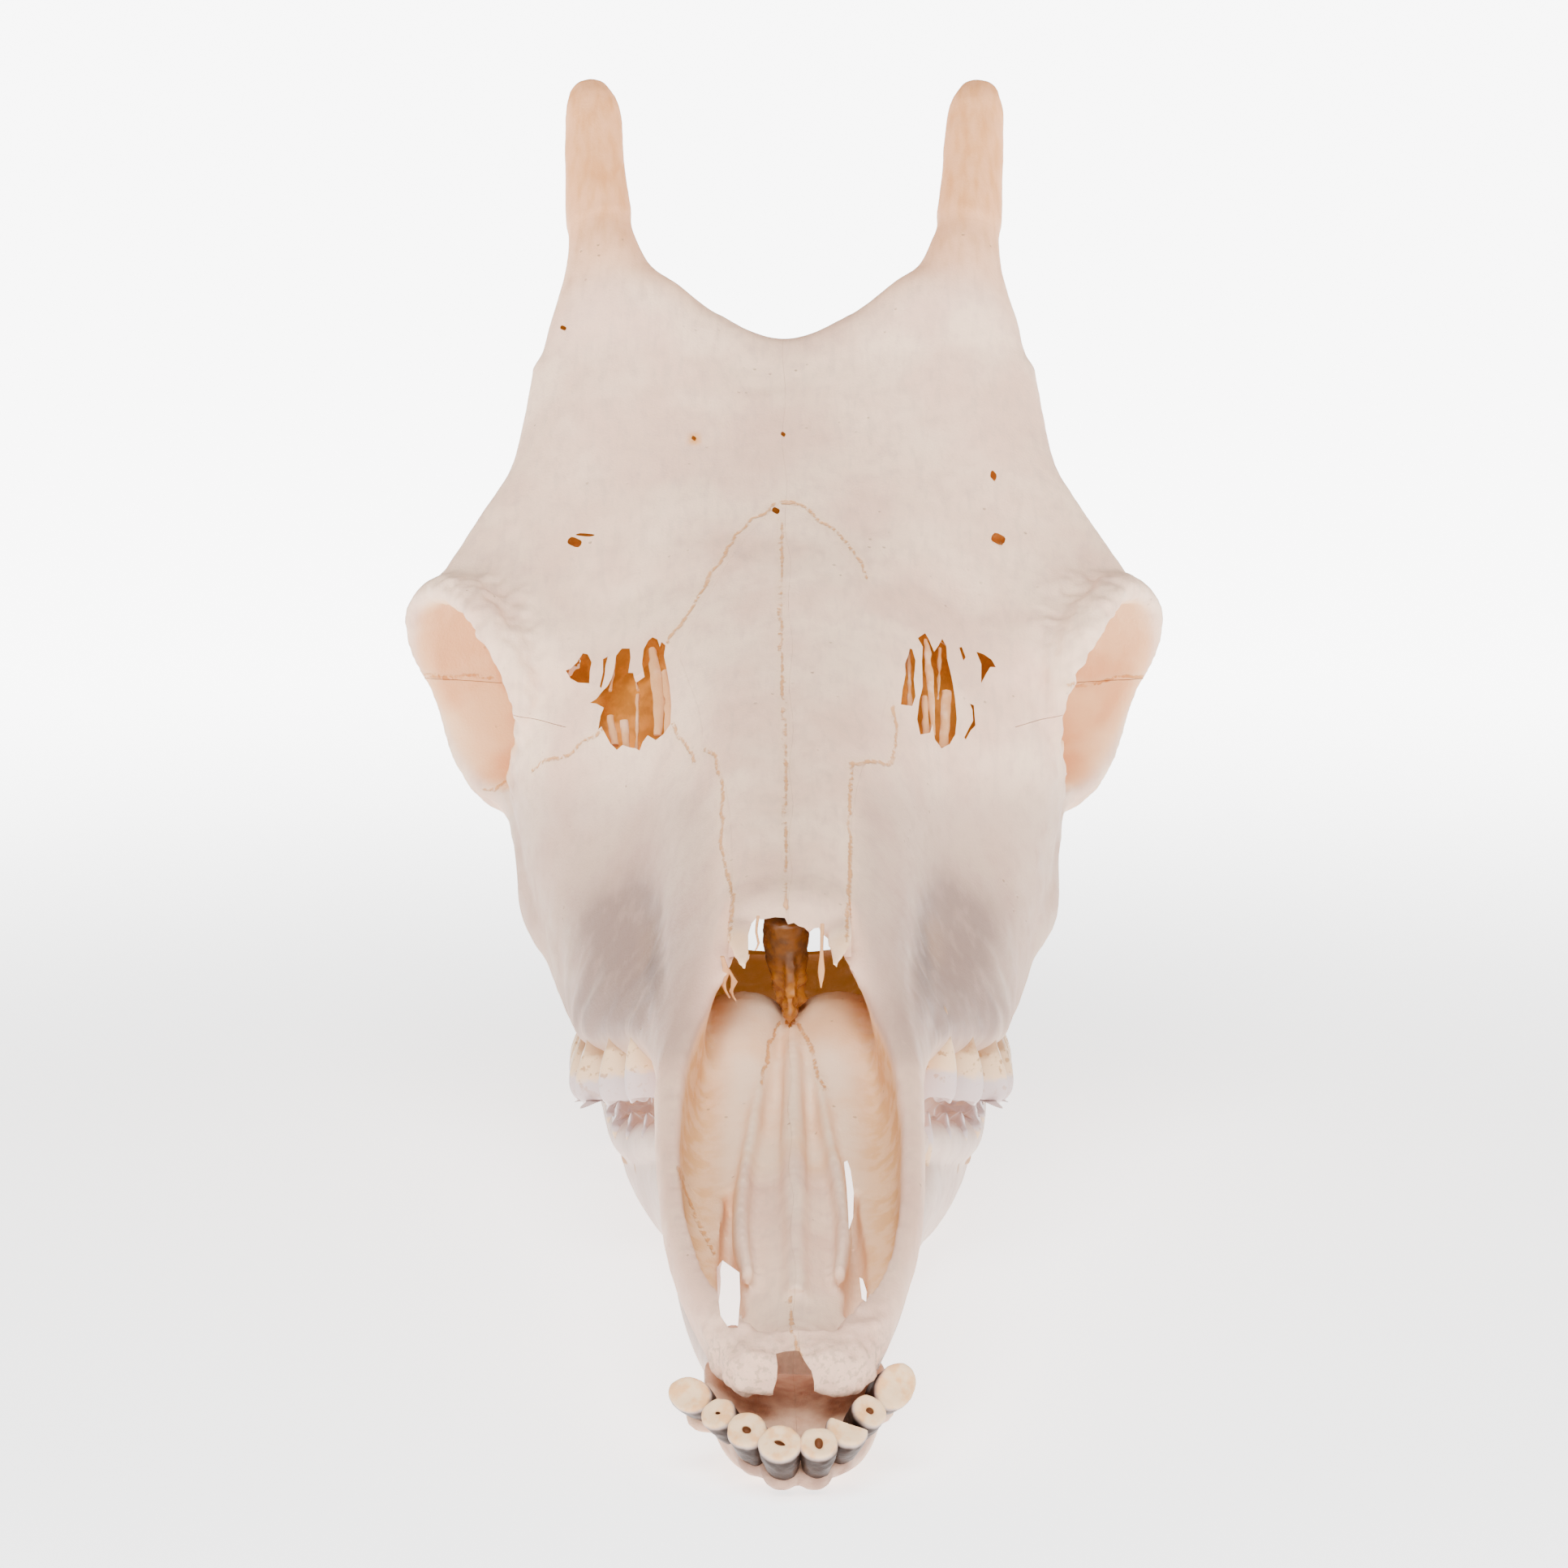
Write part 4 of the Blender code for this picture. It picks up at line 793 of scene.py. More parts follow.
BONE_PLACES = {                # a place on each paired bone, on the left
    "premaxilla": (30, 50, 50), "maxilla": (60, 290, 110), "nasal": (12, 250, 158), "frontal": (75, 425, 240),
    "jugal": (98, 385, 125), "palatine": (25, 385, 85),
}
MIDLINE_BEND = 0.6             # the cut down the middle winds, so that no light comes straight through it


def whole_skull():
    """The skull before it is hollowed, its bodies run into one another at the ossicones and the eyes."""
    skull = solid_of(skull_bodies(), "skull", SKULL_GRAIN, 0)
    fused(skull, SKULL_GRAIN, 5)
    places = unplaced(corners_of(skull))
    places[:, 0] = np.abs(places[:, 0])
    near_horn = np.linalg.norm(places - HORN_ROOT, axis=1) < HORN_FOOT
    near_eye = (np.linalg.norm(places - ORBIT_CENTRE, axis=1) < EYE_REACH) * (places[:, 0] < EYE_SIDE)
    soften(skull, near_eye, 25)
    soften(skull, near_horn, 240)
    return skull


def hollowed(skull):
    """The skull with its large openings cut and the inner parts of the nose put in."""
    nose, airway, spinal, *paired = [body_of_rings(rings, "cutter") for rings in hollow_bodies()]
    slits, sockets = joined(paired[0::2], "slits"), joined(paired[1::2] + [nose, spinal], "sockets")
    cut(skull, airway, slits, sockets)
    skull = joined([skull] + [body_of_rings(rings, "inner") for rings in nose_bodies()], "skull")
    fused(skull, SKULL_GRAIN, 3)
    places = np.abs(unplaced(corners_of(skull)))
    low, high = np.array(NOSE_WALLS)
    soften(skull, np.all((places > low) * (places < high), axis=1), 16)
    return skull


def relief(obj):
    """Works the bone's surface over: swells over the tooth roots, hollows, ragged rims, fine grain."""
    corners, normals = corners_of(obj), normals_of(obj)
    places, pixels = unplaced(corners), seen(corners)
    x, y, z = places.T
    facing = np.clip(normals @ -AHEAD, 0, 1)
    lift = 0.30 * grain(places, 16, 1) + 0.16 * grain(places, 6.5, 2) + 0.07 * grain(places, 2.8, 3)
    for centre, spread, amount in RELIEF:
        lift += amount * spot(pixels, centre, spread) * facing
    row = smooth_step(196, 206, y) * smooth_step(362, 350, y)
    row = row * smooth_step(64, 78, z) * smooth_step(118, 88, z)
    outward = np.abs(normals[:, 0])
    swell = np.sin(2 * math.pi * (y + 4 * grain(places, 22, 9) - 200) / ROOT_SPACING)
    lift += 0.42 * row * outward * swell
    knob = smooth_step(30, 16, y) * smooth_step(52, 46, z)
    lift += 1.0 * knob * grain(places, 3.6, 5) + 0.6 * knob * grain(places, 1.9, 45)
    lift -= 0.35 * knob * smooth_step(0.35, 0.6, grain(places, 4.2, 6))
    from_eye = np.linalg.norm(np.stack((np.abs(x), y, z), 1) - ORBIT_CENTRE, axis=1)
    ragged = smooth_step(46, 38, from_eye) * smooth_step(28, 33, from_eye) * smooth_step(392, 372, y)
    lift += 1.1 * ragged * grain(places, 4.0, 7) + 0.6 * ragged * grain(places, 2.0, 8)
    move_corners(obj, corners + normals * lift[:, None] * MM)


def open_up(skull, surface):
    """Cuts the small openings that the photograph shows, along its sight lines."""
    pockets = joined([pocket(outline, surface, POCKET_SKIN, POCKET_DEPTH) for outline in POCKETS], "pockets")
    gaps = [window(outline, surface, LACRIMAL_DEPTH) for outline in OPENINGS]
    for (u, v), (wide, high), deep in FORAMINA:
        ring = [(u + wide * math.cos(a), v + high * math.sin(a) * (1 + 0.3 * math.sin(2 * a)))
                for a in np.linspace(0, 2 * math.pi, 12, endpoint=False)]
        gaps.append(window(ring, surface, deep))
    gaps += [window(FRONT_NOTCH, surface, 18), window(NASAL_EDGE, surface, 12)]
    gaps += [window(outline, surface, 34, clear=2.0) for outline in DAYLIGHT]
    cut(skull, pockets, joined(gaps, "gaps"))


def aside(obj):
    """The loose jaw lies a bit to the left behind the chin."""
    corners = corners_of(obj)
    corners[:, 0] += follow(JAW_DRIFT)(unplaced(corners)[:, 1])[:, 0] * MM
    move_corners(obj, corners)
    return obj


def whole_jaw():
    """The lower jaw in its place, its underside kept clear of the floor."""
    jaw = aside(solid_of(jaw_bodies(), "jaw", JAW_GRAIN, 4))
    corners = corners_of(jaw)
    corners[:, 2] = np.maximum(corners[:, 2], FLOOR_CLEAR * MM)
    move_corners(jaw, corners)
    return jaw


def septum():
    """The broken wall between the nostrils: a ragged slab in front, a thin plate behind it."""
    obj = solid_of([
        limb([(-1.3, 184, 126.5), (-1.3, 188, 118), (-0.8, 192, 109), (0.2, 197, 100), (0.5, 200, 93)],
             [(6, 6.6), (6, 7.0), (5, 6.0), (4, 3.8), (2, 1.4)], flat_to=(0, 1, 0)),
        limb([(0, 184, 106), (0, 240, 116), (0, 300, 122), (0, 352, 112)],
             [(16, 1.5), (22, 1.4), (20, 1.3), (8, 1.2)]),
    ], "nasal_septum", 0.8, 2)
    corners, normals = corners_of(obj), normals_of(obj)
    places = unplaced(corners)
    ragged = 0.4 + 1.2 * smooth_step(112, 98, places[:, 2])
    lift = ragged * (0.9 * grain(places, 3.2, 21) + 0.6 * grain(places, 1.5, 22))
    move_corners(obj, corners + normals * lift[:, None] * MM)
    write_mask(obj, "low", smooth_step(114, 100, places[:, 2]))
    return obj


def splinters():
    """The thin broken bone at the nostrils."""
    found = [body_of_rings(limb(path, sizes, sides=8, step=1.5), "splinter") for path, sizes in SPLINTERS]
    return joined(found, "nostril_splinters")


def shards(side, surface):
    """Broken bone strands inside a lacrimal opening, laid along the sight lines behind its rim."""
    found = []
    for pixels, width, deep in SHARDS[side]:
        path = unplaced(np.array([hit(pixel, surface) + sight(pixel) * deep * MM for pixel in pixels]))
        sizes = [(0.8, width * (0.6 if k in (0, len(path) - 1) else 1.0)) for k in range(len(path))]
        found.append(body_of_rings(limb(path, sizes, flat_to=(0, 1, 0), sides=10, step=2), "shard"))
    obj = joined(found, f"lacrimal_shards_{side}")
    corners, normals = corners_of(obj), normals_of(obj)
    places = unplaced(corners)
    move_corners(obj, corners + normals * (0.5 * grain(places, 2.5, 31))[:, None] * MM)
    write_mask(obj, "depth", 1.5 + 2.5 * grain(places, 6, 32))
    return obj


def nasal_block(grow):
    """A block round both nasal bones, pointed at the back."""
    upper = {y: (width + grow, top) for y, (width, top) in NASAL_SPAN.items()}
    lower = {y: (width + grow, top - NASAL_DEPTH - grow) for y, (width, top) in NASAL_SPAN.items()}
    return body_of_rings(
        hull(min(NASAL_SPAN) - grow, max(NASAL_SPAN) + grow, {y: p[1] for y, p in upper.items()},
             [upper, lower], {y: p[1] for y, p in lower.items()}, step=14, span=1), "nasal_block")


def parted(skull):
    """The skull as separate bones, keyed by the name of the node that each one stands for."""
    nasals = copy_of(skull, "nasals")
    block = nasal_block(0.0)
    shaped(nasals, "BOOLEAN", operation="INTERSECT", solver="MANIFOLD", object=block)
    drop([block])
    cut(skull, nasal_block(SEAM))
    seams = [sheet([(60, 10), (88, 50), (150, 98), (196, 134)], -60, 60, "yz"),
             sheet([(372, 40), (350, 100), (336, 150), (310, 240)], -120, 120, "yz"),
             sheet([(510, 310), (478, 255), (440, 190), (412, 135), (427, 50)], -140, 140, "yz")]
    seams += [body_of_rings(ball((side * 62, 474, 308), (24, 24, SEAM / 2), (0, 62, 78)), "seam")
              for side in (1, -1)]
    cut(skull, joined(seams, "seams"))
    blocks = loose_parts(skull)
    found = {"braincase": nearest(blocks, (0, 560, 205)), "ossicone_left": nearest(blocks, (66, 509, 350)),
             "ossicone_right": nearest(blocks, (-66, 509, 350))}
    halved = [nearest(blocks, place) for place in ((75, 425, 250), (60, 290, 110), (30, 50, 50))] + [nasals]
    drop([obj for obj in blocks if obj not in halved and obj not in found.values()])
    pieces = []
    middle = [(MIDLINE_BEND * math.sin(y / 6), y) for y in range(-10, 562, 6)]
    for block in halved:
        pieces += loose_parts(cut(block, sheet(middle, -10, 320, "xy")))
    for side in (1, -1):
        eye = nearest(pieces, (side * 75, 425, 250))
        line = [(side * 150, 170), (side * 64, 160), (side * 61, 127.5), (side * -10, 127.5)]
        cheek = sheet(line, 300, 440, "xz", EYE_SEAM)
        palate = sheet([(side * 61, 129.5), (side * 60, 40)], 300, 440, "xz", EYE_SEAM)
        pieces += loose_parts(cut(eye, cheek, palate))[1:]
    for side, where in SIDES:
        for bone, (x, y, z) in BONE_PLACES.items():
            found[f"{bone}_{where}"] = nearest(pieces, (side * x, y, z))
    drop([obj for obj in pieces if obj not in found.values()])
    return found


def parted_jaw(jaw):
    """The jaw as its two halves, keyed in the same way."""
    halves = loose_parts(cut(jaw, sheet([(0, -20), (0, 300)], -20, 120, "xy")))
    found = {f"mandible_{where}": nearest(halves, (side * 50, 340, 40)) for side, where in SIDES}
    drop([obj for obj in halves if obj not in found.values()])
    return found


def tooth_outline(length, width, lobes):
    """Plan of a cheek tooth: ribs and pillars on the cheek side, rounded lobes on the tongue side."""
    outline = []
    part = length / lobes
    starts = [-length / 2 + part * k for k in range(lobes)]
    for start in starts:
        for share, across in CHEEK_SIDE:
            outline.append((width * across, start + share * part))
    outline.append((width * 0.49, length / 2 - 0.01 * length))
    for start in reversed(starts):
        for share, across in TONGUE_SIDE:
            outline.append((-width * across, start + share * part))
    return outline


def cheek_tooth(middle, length, width, heights, lobes, side, downwards):
    """One cheek tooth, grown ring by ring from its root, its worn face sunk between the enamel edges."""
    root, neck, bite = heights
    outline = tooth_outline(length, width, lobes)
    bpy.ops.object.select_all(action="DESELECT")
    bpy.ops.mesh.primitive_circle_add(vertices=len(outline), radius=1, fill_type="NGON", location=(0, 0, 0))
    tooth = bpy.context.object
    centre = placed((middle[0], middle[1], root))[0]
    for corner, (across, along) in zip(tooth.data.vertices, outline):
        corner.co = Vector(centre) + Vector((side * across * 0.50, along * 0.72, 0)) * MM
    if (side > 0) == downwards:
        tooth.data.flip_normals()
    only(tooth)
    bpy.ops.object.mode_set(mode="EDIT")
    bpy.ops.mesh.select_all(action="SELECT")
    height, size = 0.0, (0.50, 0.72)
    crown = bite - neck
    for level, across, along in CHEEK_TOOTH:
        target = (neck - root) * min(1.0, level + 1) + crown * max(0.0, level)
        bpy.ops.mesh.extrude_region_move(TRANSFORM_OT_translate={"value": (0, 0, (target - height) * MM)})
        bpy.ops.transform.resize(value=(across / size[0], along / size[1], 1), center_override=tuple(centre))
        height, size = target, (across, along)
    bpy.ops.mesh.inset(thickness=width * 0.10 * MM)
    bpy.ops.transform.translate(value=(0, 0, (0.9 if downwards else -0.9) * MM))
    bpy.ops.mesh.inset(thickness=width * 0.12 * MM)
    bpy.ops.transform.translate(value=(0, 0, (1.3 if downwards else -1.3) * MM))
    bpy.ops.object.mode_set(mode="OBJECT")
    corners = corners_of(tooth)
    tip = smooth_step(0.55, 1.0, (corners[:, 2] - centre[2] - (neck - root) * MM) / (crown * MM))
    wave = np.cos(((corners[:, 1] - centre[1]) / MM / length * lobes + (lobes - 1) / 2) * 2 * math.pi)
    lean = (corners[:, 0] - centre[0]) / MM / width * side
    back = TIP_RISE * (1 - wave) / 2 + 1.2 * (0.5 - lean)
    corners[:, 2] += tip * back * MM * (1 if downwards else -1)
    move_corners(tooth, corners)
    outwards(tooth)
    share = np.clip((corners_of(tooth)[:, 2] - centre[2] - (neck - root) * MM) / (crown * MM), 0, 1)
    write_mask(tooth, "crown", share)
    shaped(tooth, "SUBSURF", levels=2, render_levels=2)
    return tooth


def tooth_row(row, side, name, premolars=3):
    """The cheek teeth of one side of a jaw."""
    lines = [follow(row[key]) for key in ("root", "neck", "bite")]
    teeth = []
    y = row["first"]
    for i, (length, width) in enumerate(zip(row["lengths"], row["widths"])):
        middle_y = y + length / 2
        heights = [line(middle_y)[0, 0] for line in lines]
        place = (side * follow(row["middle"])(middle_y)[0, 0], middle_y)
        teeth.append(cheek_tooth(place, length * 0.985, width, heights, 1 if i < premolars else 2, side,
                                 downwards=heights[2] < heights[1]))
        y += length
    return joined(teeth, name)


def write_mask(obj, name, values):
    """Paints a mask on a piece: one value for each corner, which a material reads by this name."""
    attribute = obj.data.attributes.get(name) or obj.data.attributes.new(name, "FLOAT", "POINT")
    attribute.data.foreach_set("value", np.asarray(values, np.float32))


def front_tooth(tip, heading, width, thick, twist, pit, chip, side):
    """An incisor or canine: a root in the chin, a swelling crown and a flat worn end, most with a pit."""
    bpy.ops.object.select_all(action="DESELECT")
    bpy.ops.mesh.primitive_circle_add(vertices=20, radius=MM, fill_type="NGON", location=(0, 0, 0))
    tooth = bpy.context.object
    only(tooth)
    bpy.ops.object.mode_set(mode="EDIT")
    bpy.ops.mesh.select_all(action="SELECT")
    size, height = (1.0, 1.0), 0.0

    def ring(across, through, level):
        """The next ring: half sizes in mm at a height above the root."""
        nonlocal size, height
        bpy.ops.mesh.extrude_region_move(TRANSFORM_OT_translate={"value": (0, 0, (level - height) * MM)})
        bpy.ops.transform.resize(value=(across / size[0], through / size[1], 1), center_override=(0, 0, 0))
        size, height = (across, through), level

    bpy.ops.transform.resize(value=(width * 0.2, thick * 0.2, 1), center_override=(0, 0, 0))
    size = (width * 0.2, thick * 0.2)
    for level, share in FRONT_TOOTH:
        ring(width / 2 * share, thick / 2 * share, level)
    for share, level in ((0.86, 24.25), (0.66, 24.2)):
        ring(width / 2 * share, thick / 2 * share, level)
    if pit:
        for share, level in ((1.6, 24.1), (1.15, 23.8), (0.9, 23.2), (0.6, 22.2)):
            ring(pit[0] * share, pit[1] * share, level)
    else:
        for share, level in ((0.4, 24.0), (0.15, 23.9)):
            ring(width / 2 * share, thick / 2 * share, level)
    bpy.ops.object.mode_set(mode="OBJECT")
    corners = corners_of(tooth) / MM
    inner = (np.hypot(corners[:, 0] / width, corners[:, 1] / thick) < 0.47) * (corners[:, 2] > 20)
    write_mask(tooth, "crown", np.clip(corners[:, 2] / FRONT_HEIGHT, 0, 1))
    write_mask(tooth, "worn", np.maximum(smooth_step(23.3, 23.9, corners[:, 2]), inner))
    holes = pit or (0.1, 0.1)
    write_mask(tooth, "pit", inner * (np.hypot(corners[:, 0] / holes[0], corners[:, 1] / holes[1]) < 1.0))
    shaped(tooth, "SUBSURF", levels=2, render_levels=2)
    corners = corners_of(tooth)
    apart = corners / MM + 50 * width
    bent = 0.25 * grain(apart, 3.0, 41) + 0.12 * grain(apart, 1.4, 42)
    move_corners(tooth, corners + normals_of(tooth) * bent[:, None] * MM)
    tooth.rotation_euler = (0, 0, math.radians(twist))
    only(tooth)
    bpy.ops.object.transform_apply(location=True, rotation=True, scale=True)
    if chip:
        facing, distance = chip
        bpy.ops.object.mode_set(mode="EDIT")
        bpy.ops.mesh.select_all(action="SELECT")
        place = Vector((0, 0, FRONT_HEIGHT * MM)) + Vector(facing) * distance * MM
        bpy.ops.mesh.bisect(plane_co=place, plane_no=facing, use_fill=True, clear_outer=True)
        bpy.ops.object.mode_set(mode="OBJECT")
    heading = Vector((heading[0] * side, heading[1], heading[2])).normalized()
    end = Vector(placed((tip[0] * side, tip[1], tip[2]))[0])
    tooth.matrix_world = heading.to_track_quat("Z", "Y").to_matrix().to_4x4()
    tooth.location = end - heading * FRONT_HEIGHT * MM
    only(tooth)
    bpy.ops.object.transform_apply(location=True, rotation=True, scale=True)
    outwards(tooth)
    return tooth


def line_distance(pixels, line):
    """Distance in pixels from each place to a line of the photograph."""
    best = np.full(len(pixels), 1e9)
    for a, b in zip(np.array(line, float), np.array(line, float)[1:]):
        t = np.clip(((pixels - a) @ (b - a)) / ((b - a) @ (b - a)), 0, 1)
        best = np.minimum(best, np.linalg.norm(pixels - a - t[:, None] * (b - a), axis=1))
    return best


def suture_distance(corners, facing):
    """How far each place is from the nearest suture that faces the camera, in mm, and at most 9."""
    places = unplaced(corners)
    scale = FOCAL / depth_of(corners) * MM
    bent = seen(corners) + 3.0 * np.stack((grain(places, 5, 51), grain(places, 5, 52)), 1)
    line = np.full(len(corners), 9.0)
    for suture in SUTURES:
        line = np.minimum(line, line_distance(bent, suture) / scale)
    return np.where(facing > 0.02, line, 9.0)


def dress(obj, outer):
    """Writes what the bone's finish reads: depth inside the skull, sutures, tan places, painted shade on the
    cheeks, in the hollows and creases beside the muzzle and deep in the nose, and a painted glow in the
    lacrimal openings and the small holes.
    """
    corners = corners_of(obj)
    places, pixels = unplaced(corners), seen(corners)
    x, y, z = np.abs(places[:, 0]), *places[:, 1:].T
    u, v = pixels.T
    depth = np.array([(outer.closest_point_on_mesh(Vector(c))[1] - Vector(c)).length for c in corners]) / MM
    facing = normals_of(obj) @ -AHEAD
    inside = smooth_step(2.0, 5.0, depth)
    bar = smooth_step(17, 13, x) * smooth_step(140, 100, y) * smooth_step(420, 400, y)
    nose = (y < 420) * (x < 34) * inside
    lacrimal = inside * (x > 30) * (x < 76) * (y > 285) * (y < 372) * (z > 120)
    small = sum(spot(pixels, centre, np.array(half) + 5, 4) for centre, half, _ in FORAMINA)
    crease = sum(spot(pixels, centre, CREASE_SHADE_SPREAD) for centre in SHADED_CREASES)
    from_eye = np.stack((x, y, z), 1) - ORBIT_CENTRE + ORBIT_FACING * SOCKET_BACK
    along = from_eye @ ORBIT_FACING
    across = np.sqrt(np.maximum((from_eye**2).sum(1) - along**2, 0))
    # painted shade: the sides of the face below the eyes and the hollows beside the muzzle are made darker
    cheek = smooth_step(*CHEEK_TOP, v) * smooth_step(*CHEEK_FOOT, v) * smooth_step(395, 375, y) * (1 - inside)
    cheek = cheek * np.maximum(smooth_step(*CHEEK_RIGHT, u), smooth_step(*CHEEK_LEFT, u))
    hollows = sum(spot(pixels, centre, spread) for centre, spread in PAINTED_SHADE_HOLLOWS) * np.clip(facing * 2, 0, 1)
    for name, values in {
            "depth": depth * (1 - 0.85 * bar),
            "warm": smooth_step(14, 27, x) * (y < 260),
            "suture": suture_distance(corners, facing),
            "tan": smooth_step(268, 330, z) * smooth_step(440, 452, y),
            # painted shade deep in the nose, which the bone's finish also makes glow
            "dark": np.clip(nose * smooth_step(200, 226, y), 0, 1),
            # painted glow in the lacrimal openings and in the small holes
            "glow": np.clip(lacrimal + small * smooth_step(0.8, 2.0, depth), 0, 1),
            # painted shade in the creases beside the muzzle
            "crease": crease * (facing > 0) * (1 - inside),
            "socket": smooth_step(1.12, 1.03, np.hypot(across / ORBIT_RADIUS, along / SOCKET_DEPTH)),
            "knob": smooth_step(30, 14, y) * smooth_step(44, 36, z),
            "muzzle": smooth_step(215, 165, y) * (1 - inside),
            # painted shade on the cheeks and in the hollows beside the muzzle
            "grey": np.clip(0.5 * cheek + hollows, 0, 1)}.items():
        write_mask(obj, name, values)


def dress_jaw(obj):
    """Writes where the jaw is brown: round the front teeth, and most at the foot of the chin."""
    _, y, z = unplaced(corners_of(obj)).T
    write_mask(obj, "chin", smooth_step(75, 40, y))
    write_mask(obj, "front", smooth_step(16, 7, y) * smooth_step(19, 13, z))


def colour(code):
    """An sRGB hex colour as linear red, green and blue."""
    parts = [int(code[i:i + 2], 16) / 255 for i in (1, 3, 5)]
    return [c / 12.92 if c <= 0.04045 else ((c + 0.055) / 1.055) ** 2.4 for c in parts] + [1.0]


def node(tree, kind, inputs=None, output=0, **settings):
    """Adds a shader node with its settings, values and links, and gives one of its outputs. A value
    given as a string is an sRGB hex colour."""
    made = tree.nodes.new("ShaderNode" + kind)
    for name, value in settings.items():
        setattr(made, name, value)
    for socket, source in (inputs or {}).items():
        if isinstance(source, bpy.types.NodeSocket):
            tree.links.new(source, made.inputs[socket])
        else:
            made.inputs[socket].default_value = colour(source) if isinstance(source, str) else source
    return made.outputs[output]


def stained(tree, tint, *stains):
    """A tint with stains laid over it in turn. Each has its colour and strength, then the painted mask or the
    share that it keeps to, or None, and where a pattern sets its edge, the pattern and its values there."""
    for stain, strength, where, *pattern in stains:
        share = strength
        if pattern:
            driver, empty, full = pattern
            share = node(tree, "MapRange", {"Value": driver, "From Min": empty, "From Max": full,
                                            "To Max": strength}, interpolation_type="SMOOTHSTEP")
        if isinstance(where, str):
            where = node(tree, "Attribute", output="Fac", attribute_name=where)
        if where:
            share = node(tree, "Math", {0: where, 1: share}, operation="MULTIPLY")
        tint = node(tree, "Mix", {0: share, 6: tint, 7: stain}, 2, data_type="RGBA")
    return tint


def new_finish(name, patterns):
    """A new material of one shader, with its place in the piece and noise patterns of sizes in mm, as
    (size, detail) or (size, detail, stretch along x, y and z)."""
    mat = bpy.data.materials.new(name)
    mat.use_nodes = True
    tree = mat.node_tree
    place = node(tree, "TexCoord", output="Object")
    found = []
    for size, detail, *stretch in patterns:
        where = node(tree, "Mapping", {"Vector": place, "Scale": stretch[0]}) if stretch else place
        inputs = {"Vector": where, "Scale": 1 / (size * MM), "Detail": detail}
        found.append(node(tree, "TexNoise", inputs, "Fac"))
    return mat, tree, tree.nodes["Principled BSDF"], place, found


def surfaced(tree, shader, tint, sheen, height, depth, strength):
    """Links a finish: its tint, its roughness by a pattern's two values, and its fine relief in mm."""
    driver, low, high, smooth, rough = sheen
    tree.links.new(tint, shader.inputs["Base Color"])
    roughness = node(tree, "MapRange", {"Value": driver, "From Min": low, "From Max": high, "To Min": smooth,
                                        "To Max": rough}, interpolation_type="SMOOTHSTEP")
    tree.links.new(roughness, shader.inputs["Roughness"])
    relief_of = node(tree, "Bump", {"Height": height, "Distance": depth * MM, "Strength": strength}, "Normal")
    tree.links.new(relief_of, shader.inputs["Normal"])


